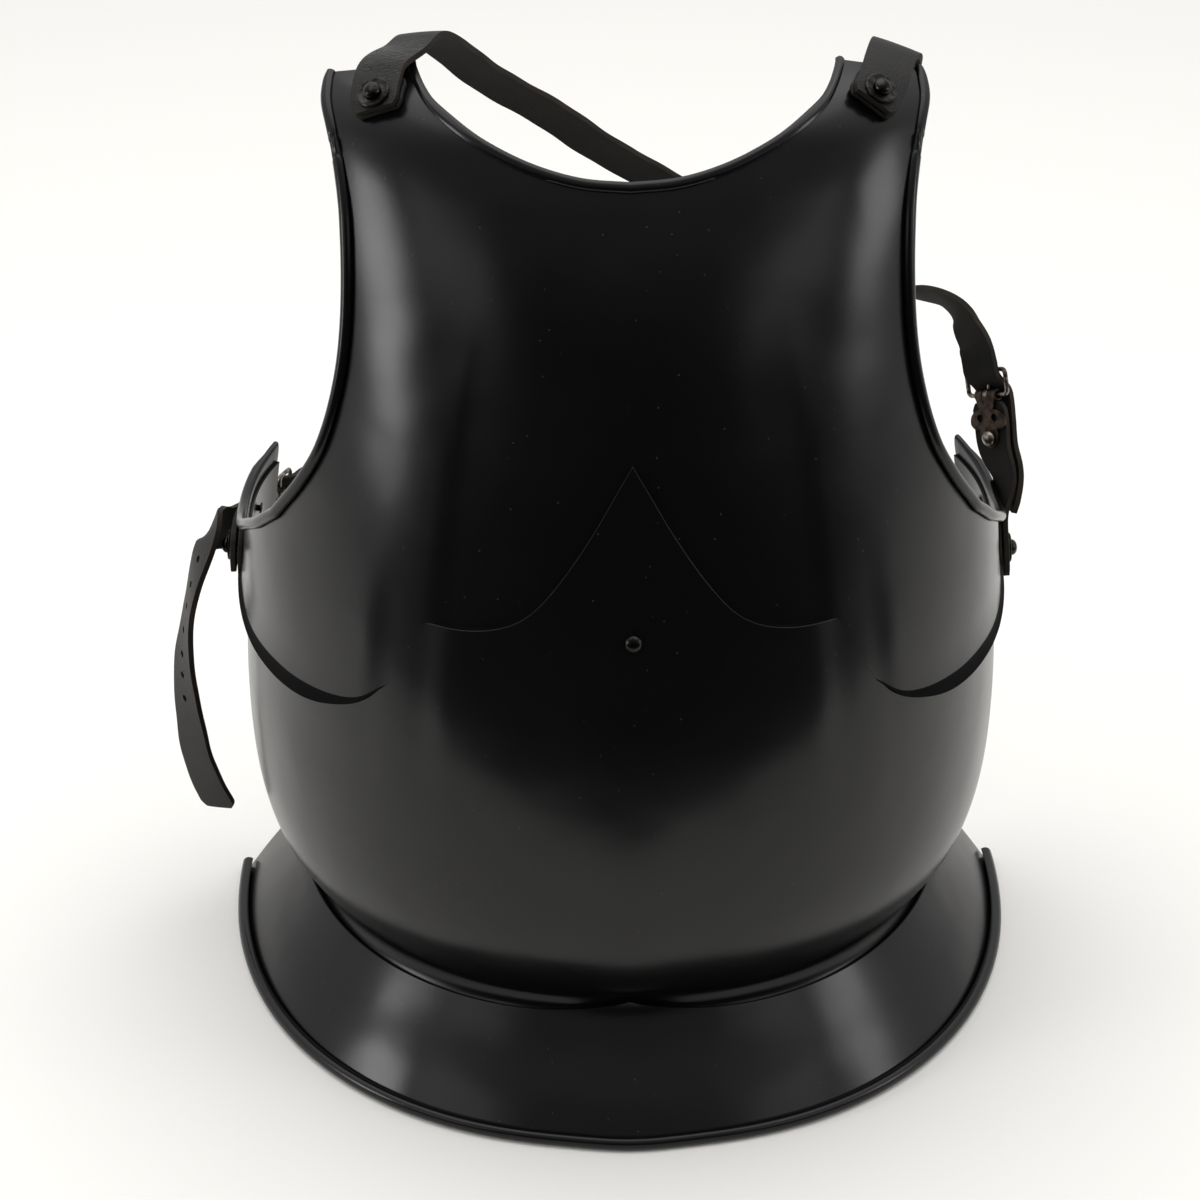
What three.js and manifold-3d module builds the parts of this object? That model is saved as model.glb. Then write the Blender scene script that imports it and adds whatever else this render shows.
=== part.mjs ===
// Steel breastplate in three plates: a breast plate, a peaked belly plate and a flared waist skirt,
// riveted together, with two leather straps that cross behind it and buckle at the flanks.
// Millimetres, +Z up. The front faces -Y, and the rolled hem of the skirt stands on Z = 0.
import * as THREE from 'three';
import { mergeGeometries, mergeVertices } from 'three/addons/utils/BufferGeometryUtils.js';
import Module from 'manifold-3d';

const wasm = await Module();
wasm.setup();

// ---- Driving dimensions ----
const plate = { thickness: 1.5, lap: 2.1, slit: 0.6 };
const roll = { neck: 2.4, arm: 2.6, hem: 3.2 };
const strap = { width: 20.5, thickness: 2.6, clip: 4, holeRadius: 1.7, holeSpacing: 13 };
const pad = { thickness: 2.2 };
const rivet = { dome: 3.8, domeHeight: 2.8, shank: 1.5, bore: 1.8, tail: 2.8, tailHeight: 1.2 };
const washer = { radius: 7, thickness: 1 };
const buckle = { width: 27, length: 14, wire: 2.2, knuckle: 2.9, chape: 1, prong: 0.8 };
const gap = 0.35;
const backDepth = 117;
const ringPower = 2.2;

// The body of the wearer, as level rings: height, half width, depth in front, height of the ridge
// down the middle.
const bodyRings = [
  [32, 163.4, 176.6, 1],
  [38, 158.5, 171, 1],
  [44, 153.8, 165.6, 1],
  [50, 153, 164.2, 1],
  [56, 157.5, 168.5, 1.5],
  [64, 164, 175.5, 2],
  [80, 171.8, 185.5, 2.5],
  [105, 176.6, 193, 2.5],
  [140, 177.8, 196, 2.5],
  [175, 176.5, 194, 1.5],
  [210, 174.5, 189, 0.5],
  [245, 171, 180, 0],
  [280, 166, 170, 0],
  [315, 159, 158.5, 0],
  [350, 154, 145, 0],
  [380, 152, 132, 0],
  [405, 151, 119, 0],
  [420, 149, 110, 0],
  [430, 145, 103, 0],
  [437, 138, 95, 0],
  [441, 131, 86, 0],
  [444, 123, 76, 0],
  [446.5, 116, 66, 0],
];
// The waist skirt, in the same columns.
const skirtRings = [
  [0, 189, 207.5, 2],
  [3, 187, 205, 2],
  [16, 178, 194, 2],
  [30, 167.5, 181, 2],
  [40, 160, 172.5, 2],
  [46, 155.5, 168, 2],
  [52, 153.5, 166.2, 2],
];
// Armhole above the seam of the two blocks of the breast plate: height, angle from the front.
const armholeSide = [
  [258, 59],
  [280, 53],
  [300, 49.4],
  [330, 47.8],
  [360, 48.9],
  [390, 52],
  [410, 56.1],
  [425, 61.2],
  [434, 66.2],
  [439, 69.9],
  [446.5, 76],
];
// Armhole below that seam, round to the back edge: angle, height.
const armholeFloor = [
  [59, 258],
  [62, 251.5],
  [66, 243],
  [71, 234.7],
  [77, 225],
  [84, 216.5],
  [91, 212],
  [98, 213],
  [105, 217.5],
];
const neckline = [
  [0, 413.8],
  [10, 415.2],
  [20, 419.5],
  [30, 426.2],
  [40, 434.2],
  [50, 440.8],
  [59.5, 445.2],
];
// Top edge of the belly plate, from the tip of its peak out to where it slips under the breast plate.
const peakLine = [
  [0, 313.6],
  [2.6, 301.5],
  [5.2, 288.5],
  [9.2, 270],
  [12.5, 257],
  [15, 250.6],
  [18, 246.6],
  [22, 244.3],
  [27.7, 243.8],
];
// Lower edge of the breast plate over the flanks.
const flankLine = [
  [33, 212],
  [36.5, 201.5],
  [40, 195.5],
  [45, 190.5],
  [51, 187.8],
  [59, 186.8],
  [66, 186.8],
  [75, 188.5],
  [85, 192],
  [95, 196],
  [105, 199],
];
// Angles at which the laps of the two upper plates begin and end.
const lap = { tongueEnd: 22, peakFull: 24, peakEnd: 27.7, flankStart: 33, flankFull: 37 };
const tongue = { centreHeight: 226, flankRise: 16 };
const seam = { height: 258, angle: 59 };
const shoulder = { outerHeight: 439, cornerAngle: 59.5, cornerHeight: 445.2 };
const skirtTop = { height: 43.3, cusp: 7, cuspAngle: 7 };
const hemFoot = 1.4;
const backAngle = { rim: 92.4, perMillimetre: 12.6 / 220 };
const columnAngles = [0, 2.6, 5.2, 9, 12.5, 16, 19, 22, 24, 27.7, 33, 37, 40, 46, 52.5, 59, 65, 72, 80, 88, 96,
  105];
const skirtAngles = [0, 3, 6, 10, 16, 23, 30, 37, 44, 51, 58, 65, 72, 79, 86, 92.4];
// Rows of the belly plate up to where its columns start to differ, and the rows above.
const bellyRows = { heights: [32, 38, 44, 50, 57, 68, 84, 110, 145], above: 4 };

const blackSteel = new THREE.MeshStandardMaterial({ color: 0x1c1c1d, roughness: 0.34, metalness: 0.55 });
const rivetSteel = new THREE.MeshStandardMaterial({ color: 0x3a3937, roughness: 0.3, metalness: 0.9 });
const blackLeather = new THREE.MeshStandardMaterial({ color: 0x2b2622, roughness: 0.7, metalness: 0 });

// ---- Tables and the body surface ----
const degrees = Math.PI / 180;
const smooth = (x, from, to) => THREE.MathUtils.smoothstep(x, from, to);
const mirrored = (angles) => [...angles.slice(1).reverse().map((angle) => -angle), ...angles];

// A smooth curve through the rows of a table, read at a value of its first column.
function read(table, key) {
  const last = table.length - 1;
  let i = table.findIndex((row) => row[0] > key) - 1;
  if (i < 0) i = key < table[0][0] ? 0 : last - 1;
  const slope = (row, column) => {
    const before = table[Math.max(row - 1, 0)];
    const after = table[Math.min(row + 1, last)];
    return (after[column] - before[column]) / (after[0] - before[0]);
  };
  const step = table[i + 1][0] - table[i][0];
  const t = (key - table[i][0]) / step;
  return table[i].slice(1).map((start, j) => {
    const end = table[i + 1][j + 1];
    const rise = step * slope(i, j + 1);
    const fall = step * slope(i + 1, j + 1);
    return start + t * (rise + t * (3 * (end - start) - 2 * rise - fall + t * (2 * (start - end) + rise + fall)));
  });
}

function ringPoint(rings, angle, height) {
  const [halfWidth, depth, ridge] = read(rings, height);
  const side = Math.abs(Math.sin(angle * degrees)) / halfWidth;
  const front = Math.cos(angle * degrees);
  const ahead = Math.abs(front) / (front > 0 ? depth : backDepth);
  const radius = (side ** ringPower + ahead ** ringPower) ** (-1 / ringPower) + ridge * Math.exp(-((angle / 6) ** 2));
  return new THREE.Vector3(radius * Math.sin(angle * degrees), -radius * front, height);
}

// A point on the body and the direction that faces outward there.
function place(rings, angle, height, lift = 0) {
  const across = ringPoint(rings, angle + 0.1, height).sub(ringPoint(rings, angle - 0.1, height));
  const upward = ringPoint(rings, angle, height + 0.1).sub(ringPoint(rings, angle, height - 0.1));
  const facing = across.cross(upward).normalize();
  return { point: ringPoint(rings, angle, height).addScaledVector(facing, lift), facing };
}

// The place on the shoulder that lies over a point of the plan.
function placeOver(x, y, lift) {
  const angle = Math.atan2(x, -y) / degrees;
  let low = 380;
  let high = 446.5;
  while (high - low > 0.01) {
    const middle = (low + high) / 2;
    const point = ringPoint(bodyRings, angle, middle);
    if (Math.hypot(point.x, point.y) > Math.hypot(x, y)) low = middle;
    else high = middle;
  }
  return place(bodyRings, angle, low, lift);
}

// Past the seam, the columns spread out to the back edge, which leans forward as it goes down.
function spread(angle, height) {
  const beyond = Math.abs(angle) - seam.angle;
  if (beyond <= 0) return angle;
  const back = backAngle.rim + backAngle.perMillimetre * Math.min(height, 220);
  return Math.sign(angle) * (seam.angle + (beyond * (back - seam.angle)) / (105 - seam.angle));
}

// ---- Meshes and solids ----
function bare(geometry) {
  const copy = geometry.index ? geometry.clone() : mergeVertices(geometry.clone());
  copy.deleteAttribute('normal');
  copy.deleteAttribute('uv');
  return mergeVertices(copy, 1e-4);
}

function grid(columns, rows, at) {
  const sheet = new THREE.PlaneGeometry(1, 1, columns, rows);
  const position = sheet.attributes.position;
  for (let i = 0; i < position.count; i += 1) {
    const point = at(Math.round((position.getX(i) + 0.5) * columns), position.getY(i) + 0.5);
    position.setXYZ(i, point.x, point.y, point.z);
  }
  return bare(sheet);
}

// Gives a sheet its thickness inward, and closes it along its edges.
function thicken(sheet, thickness) {
  sheet.computeVertexNormals();
  const outer = sheet.attributes.position;
  const normal = sheet.attributes.normal;
  const count = outer.count;
  const points = [...outer.array];
  for (let i = 0; i < count; i += 1) {
    points.push(outer.getX(i) - thickness * normal.getX(i));
    points.push(outer.getY(i) - thickness * normal.getY(i));
    points.push(outer.getZ(i) - thickness * normal.getZ(i));
  }
  const faces = [...sheet.index.array];
  const edges = new Set();
  const wall = [];
  for (let i = 0; i < faces.length; i += 3) {
    for (let k = 0; k < 3; k += 1) edges.add(`${faces[i + k]} ${faces[i + ((k + 1) % 3)]}`);
  }
  for (const edge of edges) {
    const [a, b] = edge.split(' ').map(Number);
    if (!edges.has(`${b} ${a}`)) wall.push(a, a + count, b + count, a, b + count, b);
  }
  const inner = [];
  for (let i = 0; i < faces.length; i += 3) {
    inner.push(faces[i] + count, faces[i + 2] + count, faces[i + 1] + count);
  }
  const solid = new THREE.BufferGeometry();
  solid.setAttribute('position', new THREE.Float32BufferAttribute(points, 3));
  solid.setIndex([...faces, ...inner, ...wall]);
  return solid;
}

function toSolid(geometry) {
  const merged = bare(geometry);
  const vertProperties = Float32Array.from(merged.attributes.position.array);
  const triVerts = Uint32Array.from(merged.index.array);
  return new wasm.Manifold(new wasm.Mesh({ numProp: 3, vertProperties, triVerts }));
}

function toGeometry(solid) {
  const { vertProperties, triVerts } = solid.getMesh();
  const geometry = new THREE.BufferGeometry();
  geometry.setAttribute('position', new THREE.BufferAttribute(vertProperties, 3));
  geometry.setIndex(new THREE.BufferAttribute(triVerts, 1));
  return geometry;
}

function rod(points, radius, sides, steps) {
  const corners = Array.from({ length: sides }, (_, i) => {
    const turn = (2 * Math.PI * (i + 0.5)) / sides;
    return new THREE.Vector2(radius * Math.cos(turn), radius * Math.sin(turn));
  });
  const extrudePath = new THREE.CatmullRomCurve3(points, false, 'centripetal');
  return new THREE.ExtrudeGeometry(new THREE.Shape(corners), { steps, extrudePath, bevelEnabled: false });
}

// A cylinder along the direction a place faces, centred on it, for boring holes.
function bore(spot, radius, length) {
  const cylinder = new THREE.CylinderGeometry(radius, radius, length, 6);
  cylinder.applyQuaternion(new THREE.Quaternion().setFromUnitVectors(new THREE.Vector3(0, 1, 0), spot.facing));
  cylinder.translate(spot.point.x, spot.point.y, spot.point.z);
  return toSolid(cylinder);
}

function drill(solid, spots, radius = rivet.bore, length = 16) {
  return spots.reduce((rest, spot) => rest.subtract(bore(spot, radius, length)), solid);
}

// ---- Plates ----
// +1 where the belly plate laps over the breast plate, -1 where it slips under, 0 between.
function lapSide(angle) {
  const away = Math.abs(angle);
  if (away < lap.peakEnd) return 1 - smooth(away, lap.peakFull, lap.peakEnd);
  return -smooth(away, lap.flankStart, lap.flankFull);
}

function breastLift(angle, height) {
  const side = lapSide(angle);
  const fade = side > 0 ? 1 - smooth(height, 320, 370) : 1 - smooth(height, 225, 280);
  return (-plate.lap / 2) * side * fade;
}

function bellyLift(angle, height) {
  const side = lapSide(angle);
  const fade = side > 0 ? smooth(height, 140, 215) : smooth(height, 120, 180);
  return (plate.lap / 2) * side * fade;
}

const slitLine = [[lap.peakEnd, 243.8], [lap.flankStart, 212]];

function breastFoot(angle) {
  const away = Math.abs(angle);
  if (away <= lap.tongueEnd) return tongue.centreHeight;
  if (away <= lap.peakEnd) return read(peakLine, away)[0] + plate.slit;
  if (away <= lap.flankStart) return read(slitLine, away)[0] + plate.slit;
  return read(flankLine, away)[0];
}

function bellyHead(angle) {
  const away = Math.abs(angle);
  if (away <= lap.peakEnd) return read(peakLine, away)[0];
  if (away <= lap.flankStart) return read(slitLine, away)[0];
  if (away <= lap.flankFull) return read(flankLine, away)[0] - plate.slit;
  return read(flankLine, away)[0] + tongue.flankRise;
}

function breastPoint(angle, height) {
  return place(bodyRings, angle, height, breastLift(angle, height)).point;
}

// Height of the top of a column of the upper block, on the neckline or the back edge of the shoulder.
function breastHead(share) {
  const cornerShare = shoulder.cornerAngle / read(armholeSide, shoulder.cornerHeight)[0];
  if (share >= cornerShare) {
    const t = (share - cornerShare) / (1 - cornerShare);
    return THREE.MathUtils.lerp(shoulder.cornerHeight, shoulder.outerHeight, t);
  }
  let height = neckline[0][1];
  for (let i = 0; i < 8; i += 1) height = read(neckline, share * read(armholeSide, height)[0])[0];
  return height;
}

function breastSheet() {
  const lowColumns = mirrored(columnAngles);
  const lower = grid(lowColumns.length - 1, 3, (i, up) => {
    const column = lowColumns[i];
    const foot = breastFoot(column);
    const away = Math.abs(column);
    const head = away <= seam.angle ? seam.height : read(armholeFloor, away)[0];
    const height = foot + (head - foot) * up;
    return breastPoint(spread(column, height), height);
  });
  const cornerShare = shoulder.cornerAngle / read(armholeSide, shoulder.cornerHeight)[0];
  const highColumns = mirrored(columnAngles.filter((angle) => angle <= seam.angle));
  const upper = grid(highColumns.length - 1, 9, (i, up) => {
    const share = Math.abs(highColumns[i]) / seam.angle;
    // The column nearest to the corner of the neck runs exactly to it.
    const target = Math.abs(share - cornerShare) < 0.04 ? cornerShare : share;
    const aim = THREE.MathUtils.lerp(share, target, up);
    const height = seam.height + (breastHead(aim) - seam.height) * (1 - (1 - up) ** 1.5);
    return breastPoint(Math.sign(highColumns[i]) * aim * read(armholeSide, height)[0], height);
  });
  return bare(mergeGeometries([lower, upper]));
}

// The wire-like roll along an edge stands out from the face and is flush with the back.
function edgeRoll(places, radius, sides, steps) {
  const lift = radius - plate.thickness;
  const points = places.map((spot) => spot.point.addScaledVector(spot.facing, lift));
  return toSolid(rod(points, radius, sides, steps));
}

function armholeRoll(side) {
  const places = [];
  for (let angle = 105; angle >= seam.angle; angle -= 4.6) {
    const height = read(armholeFloor, angle)[0];
    const turned = side * spread(angle, height);
    places.push(place(bodyRings, turned, height, breastLift(turned, height)));
  }
  for (let i = 1; i <= 16; i += 1) {
    const height = THREE.MathUtils.lerp(seam.height, shoulder.outerHeight, 1 - (1 - i / 16) ** 1.4);
    places.push(place(bodyRings, side * read(armholeSide, height)[0], height));
  }
  return edgeRoll(places, roll.arm, 6, 22);
}

function neckRoll() {
  const places = [];
  for (let i = -12; i <= 12; i += 1) {
    const angle = (shoulder.cornerAngle * i) / 12;
    places.push(place(bodyRings, angle, read(neckline, Math.abs(angle))[0]));
  }
  return edgeRoll(places, roll.neck, 6, 22);
}

function breastPlate(holes) {
  const wall = toSolid(thicken(breastSheet(), plate.thickness));
  const rolled = wall.add(neckRoll()).add(armholeRoll(1)).add(armholeRoll(-1));
  return toGeometry(drill(rolled, holes));
}

function bellyPlate(holes) {
  const columns = mirrored(columnAngles);
  const { heights, above } = bellyRows;
  const rows = heights.length - 1 + above;
  const sheet = grid(columns.length - 1, rows, (i, up) => {
    const row = Math.round(up * rows);
    const climb = (row - heights.length + 1) / above;
    const height = climb <= 0 ? heights[row] : THREE.MathUtils.lerp(heights.at(-1), bellyHead(columns[i]), climb);
    const angle = spread(columns[i], height);
    return place(bodyRings, angle, height, bellyLift(columns[i], height)).point;
  });
  return toGeometry(drill(toSolid(thicken(sheet, plate.thickness)), holes));
}

function waistSkirt(holes) {
  const columns = mirrored(skirtAngles);
  const foot = hemFoot;
  const sheet = grid(columns.length - 1, 4, (i, up) => {
    const head = skirtTop.height + skirtTop.cusp * Math.exp(-Math.abs(columns[i]) / skirtTop.cuspAngle);
    return ringPoint(skirtRings, columns[i], THREE.MathUtils.lerp(foot, head, up));
  });
  const hemPoints = [];
  for (let i = -20; i <= 20; i += 1) hemPoints.push(place(skirtRings, (backAngle.rim * i) / 20, foot));
  const hem = edgeRoll(hemPoints, roll.hem, 6, 30);
  const underFloor = new THREE.BoxGeometry(600, 600, 40).translate(0, 0, -20);
  const rolled = toSolid(thicken(sheet, plate.thickness)).add(hem).subtract(toSolid(underFloor));
  return toGeometry(drill(rolled, holes));
}

// ---- Rivets and washers ----
// A dome outside, a shank through everything it holds and a flatter head beaten over inside.
function rivetGeometry(grip) {
  const half = Math.PI / 2;
  const profile = [new THREE.Vector2(0, -grip - rivet.tailHeight)];
  profile.push(new THREE.Vector2(rivet.tail, -grip), new THREE.Vector2(rivet.shank, -grip));
  profile.push(new THREE.Vector2(rivet.shank, 0));
  for (let i = 0; i <= 2; i += 1) {
    const turn = (half * i) / 2;
    profile.push(new THREE.Vector2(rivet.dome * Math.cos(turn), rivet.domeHeight * Math.sin(turn)));
  }
  profile.at(-1).x = 0;
  return new THREE.LatheGeometry(profile, 8);
}

function washerGeometry() {
  const inner = rivet.shank + gap;
  const corners = [[inner, 0], [washer.radius, 0], [washer.radius, washer.thickness], [inner, washer.thickness]];
  const profile = [...corners, corners[0]].map(([x, y]) => new THREE.Vector2(x, y));
  return new THREE.LatheGeometry(profile, 10);
}

function stand(mesh, spot, lift) {
  mesh.position.copy(spot.point).addScaledVector(spot.facing, lift);
  mesh.quaternion.setFromUnitVectors(new THREE.Vector3(0, 1, 0), spot.facing);
}

// ---- Straps ----
// A flat strap through a row of places, with more steps where these lie far apart. Its ends have
// clipped corners, and a pointed end is drawn in further. holes are distances from the start.
function strapSolid(places, { thickness = strap.thickness, pointed = 0, reach = 14, holes = [] }) {
  const path = new THREE.CatmullRomCurve3(places.map((spot) => spot.point), false, 'centripetal');
  path.arcLengthDivisions = 2000;
  const length = path.getLength();
  const spans = places.length - 1;
  const first = path.getUtoTmapping(strap.clip / length);
  const last = path.getUtoTmapping(1 - Math.max(pointed, strap.clip) / length);
  const stations = [0, first];
  for (let k = 0; k < spans; k += 1) {
    const steps = Math.max(1, Math.round(places[k].point.distanceTo(places[k + 1].point) / reach));
    for (let i = 0; i < steps; i += 1) {
      const t = (k + i / steps) / spans;
      if (t > first + 0.2 / spans && t < last - 0.2 / spans) stations.push(t);
    }
  }
  stations.push(last, 1);
  const end = stations.length - 1;
  const frames = stations.map((t) => {
    const along = path.getTangent(t);
    const k = Math.min(Math.floor(t * spans), spans - 1);
    const facing = places[k].facing.clone().lerp(places[k + 1].facing, smooth(t * spans - k, 0, 1));
    facing.addScaledVector(along, -facing.dot(along)).normalize();
    return { point: path.getPoint(t), facing, across: facing.clone().cross(along) };
  });
  const block = new THREE.BoxGeometry(1, 1, 1, end, 1, 1);
  const corner = block.attributes.position;
  for (let i = 0; i < corner.count; i += 1) {
    const station = Math.round((corner.getX(i) + 0.5) * end);
    const cut = station === 0 ? strap.clip : station === end ? Math.max(pointed * 0.8, strap.clip) : 0;
    const frame = frames[station];
    const point = frame.point.clone();
    point.addScaledVector(frame.across, corner.getY(i) * (strap.width - 1.2 * cut));
    point.addScaledVector(frame.facing, corner.getZ(i) * thickness);
    corner.setXYZ(i, point.x, point.y, point.z);
  }
  const spots = holes.map((distance) => {
    const t = path.getUtoTmapping(distance / length);
    const far = stations.findIndex((station) => station >= t);
    const share = (t - stations[far - 1]) / (stations[far] - stations[far - 1]);
    const point = frames[far - 1].point.clone().lerp(frames[far].point, share);
    return { point, facing: frames[far - 1].facing.clone().lerp(frames[far].facing, share).normalize() };
  });
  return drill(toSolid(block), spots, strap.holeRadius, thickness + 4);
}

// A row of a strap that lies free: its place and the direction that its grain side faces.
function free(x, y, z, facingX, facingY, facingZ) {
  return { point: new THREE.Vector3(x, y, z), facing: new THREE.Vector3(facingX, facingY, facingZ).normalize() };
}

// Heights of the layers over a plate: the middle of the pad, the middle of the strap, its face.
const layers = { pad: 0.7 + pad.thickness / 2 };
layers.strap = layers.pad + pad.thickness / 2 + 3 * gap + strap.thickness / 2;
layers.face = layers.strap + strap.thickness / 2 + gap;
const flankLift = plate.lap / 2;

// ---- Group ----
const group = new THREE.Group();

function addPiece(name, geometry, material) {
  const mesh = new THREE.Mesh(geometry, material);
  mesh.name = name;
  group.add(mesh);
  return mesh;
}

function addRivet(name, spot, grip, lift = gap) {
  stand(addPiece(name, rivetGeometry(grip), rivetSteel), spot, lift);
}

// A place on a column of the two upper plates, so that it lies on their facets too.
function columnSpot(column, height, lift) {
  return place(bodyRings, spread(column, height), height, lift);
}

function raise(spot, lift) {
  return { point: spot.point.clone().addScaledVector(spot.facing, lift), facing: spot.facing.clone() };
}

const sides = [['left', -1], ['right', 1]];
const centreSpot = place(bodyRings, 0, 244, plate.lap / 2);
const shoulderSpots = sides.map(([, side]) => placeOver(side * 100, -72.5, 0));
const flankSpots = [columnSpot(-88, 197, flankLift), columnSpot(88, 191.5, flankLift)];
const flankSeamSpots = sides.map(([, side]) => columnSpot(side * 96, 204, flankLift));
const waistSpots = sides.map(([, side]) => place(skirtRings, side * 86, 37));
const lapGrip = plate.lap + plate.thickness + 3 * gap;
const strapGrip = layers.face + washer.thickness + plate.thickness + 6 * gap;

addPiece('breast_plate', breastPlate([centreSpot, ...shoulderSpots, ...flankSpots, ...flankSeamSpots]), blackSteel);
addPiece('belly_plate', bellyPlate([centreSpot, ...flankSpots, ...flankSeamSpots, ...waistSpots]), blackSteel);
addPiece('waist_skirt', waistSkirt(waistSpots), blackSteel);

addRivet('centre_rivet', centreSpot, lapGrip);
sides.forEach(([name], i) => {
  addRivet(`flank_seam_rivet_${name}`, flankSeamSpots[i], lapGrip);
  addRivet(`waist_rivet_${name}`, waistSpots[i], 2 * gap + 4.6);
  addRivet(`shoulder_rivet_${name}`, shoulderSpots[i], strapGrip, layers.face + washer.thickness + gap);
  addRivet(`flank_rivet_${name}`, flankSpots[i], strapGrip + plate.lap, layers.face + washer.thickness + gap);
  stand(addPiece(`shoulder_washer_${name}`, washerGeometry(), rivetSteel), shoulderSpots[i], layers.face);
  stand(addPiece(`flank_washer_${name}`, washerGeometry(), rivetSteel), flankSpots[i], layers.face);
});

// ---- Buckles ----
// Across is X, the way from the far bar to the hinge bar is Y, and the grain side of the strap faces Z.
function buckleSpot(at, along, outward) {
  const way = new THREE.Vector3(...along).normalize();
  const facing = new THREE.Vector3(...outward);
  facing.addScaledVector(way, -facing.dot(way)).normalize();
  return { point: new THREE.Vector3(...at), facing, along: way };
}

const buckleSpots = [
  buckleSpot([-166, 78, 178], [-0.36, -0.93, 0.05], [-0.93, 0.36, 0.05]),
  buckleSpot([175, 20, 264], [0.14, -0.38, -0.915], [0.77, 0.64, 0]),
];
const hinge = (buckle.length - buckle.wire) / 2;
const chapeRivetAt = hinge + 20;
const chapeFace = -buckle.knuckle + buckle.chape;
const shortLift = chapeFace + gap + strap.thickness / 2;
const overHinge = buckle.knuckle + gap + strap.thickness / 2 + 0.1;
const overStrap = strap.thickness + gap + 0.15;

function onBuckle(spot, ahead, lift) {
  const point = spot.point.clone().addScaledVector(spot.along, ahead).addScaledVector(spot.facing, lift);
  return { point, facing: spot.facing.clone() };
}

function turnTo(solidGeometry, spot) {
  const across = spot.along.clone().cross(spot.facing);
  const turn = new THREE.Matrix4().makeBasis(across, spot.along, spot.facing).setPosition(spot.point);
  return solidGeometry.applyMatrix4(turn);
}

function frameGeometry() {
  const [w, l, corner] = [buckle.width / 2, buckle.length / 2, 2.5];
  const outline = [[w, l - corner], [w - corner, l], [corner - w, l], [-w, l - corner], [-w, corner - l],
    [corner - w, -l], [w - corner, -l], [w, corner - l]].map(([x, y]) => new THREE.Vector2(x, y));
  const [iw, il] = [w - buckle.wire, l - buckle.wire];
  const opening = [[iw, il], [-iw, il], [-iw, -il], [iw, -il]].map(([x, y]) => new THREE.Vector2(x, y));
  const shape = new THREE.Shape(outline);
  shape.holes.push(new THREE.Path(opening));
  return new THREE.ExtrudeGeometry(shape, { depth: buckle.wire, bevelEnabled: false })
    .translate(0, 0, -buckle.wire / 2);
}

// A short tube around the hinge bar.
function knuckle(middle, width) {
  const [inner, outer] = [buckle.knuckle - buckle.chape, buckle.knuckle];
  const corners = [[inner, -width / 2], [outer, -width / 2], [outer, width / 2], [inner, width / 2]];
  const profile = [...corners, corners[0]].map(([x, y]) => new THREE.Vector2(x, y));
  const tube = new THREE.LatheGeometry(profile, 8).rotateZ(-Math.PI / 2).translate(middle, hinge, 0);
  return toSolid(tube);
}

// The steel plate that holds the frame to its strap, cut as a three-lobed leaf.
function chapeSolid() {
  const leaf = new THREE.Shape();
  leaf.moveTo(-6.5, 0);
  leaf.lineTo(6.5, 0);
  leaf.lineTo(4.5, 6.5);
  leaf.quadraticCurveTo(11.5, 7.5, 11, 13.5);
  leaf.quadraticCurveTo(9, 17, 5.5, 15.5);
  leaf.quadraticCurveTo(7, 23, 0, 25);
  leaf.quadraticCurveTo(-7, 23, -5.5, 15.5);
  leaf.quadraticCurveTo(-9, 17, -11, 13.5);
  leaf.quadraticCurveTo(-11.5, 7.5, -4.5, 6.5);
  leaf.closePath();
  const wall = new THREE.ExtrudeGeometry(leaf, { depth: buckle.chape, bevelEnabled: false, curveSegments: 2 });
  wall.translate(0, hinge, -buckle.knuckle);
  const room = new THREE.BoxGeometry(3.8, 7, 4).translate(0, hinge + 1, -buckle.knuckle);
  const holeSpots = [-4.5, 4.5].map((x) => free(x, hinge + 10.5, -buckle.knuckle, 0, 0, 1));
  holeSpots.push(free(0, chapeRivetAt, -buckle.knuckle, 0, 0, 1));
  const barRoom = bore(free(0, hinge, 0, 1, 0, 0), buckle.knuckle - buckle.chape, 30);
  const leafSolid = drill(toSolid(wall), holeSpots, rivet.bore, 6).subtract(barRoom);
  return leafSolid.subtract(toSolid(room)).add(knuckle(-4.3, 4.4)).add(knuckle(4.3, 4.4));
}

function prongSolid() {
  const tip = new THREE.Vector3(0, -buckle.length / 2 - 0.6, buckle.wire / 2 + buckle.prong + 2 * gap);
  const root = new THREE.Vector3(0, hinge - buckle.knuckle + 0.6, 0.6);
  const middle = root.clone().lerp(tip, 0.5);
  return knuckle(0, 2.6).add(toSolid(rod([root, middle, tip], buckle.prong, 6, 2)));
}

sides.forEach(([name], i) => {
  const spot = buckleSpots[i];
  addPiece(`buckle_frame_${name}`, turnTo(frameGeometry(), spot), rivetSteel);
  addPiece(`buckle_chape_${name}`, turnTo(toGeometry(chapeSolid()), spot), rivetSteel);
  addPiece(`buckle_prong_${name}`, turnTo(toGeometry(prongSolid()), spot), rivetSteel);
  // The dome is on the side of the body and the beaten head is under the tail of the long strap.
  const inside = onBuckle(spot, chapeRivetAt, -buckle.knuckle);
  inside.facing.negate();
  addRivet(`buckle_rivet_${name}`, inside, buckle.chape + strap.thickness + 3 * gap);
});

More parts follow.
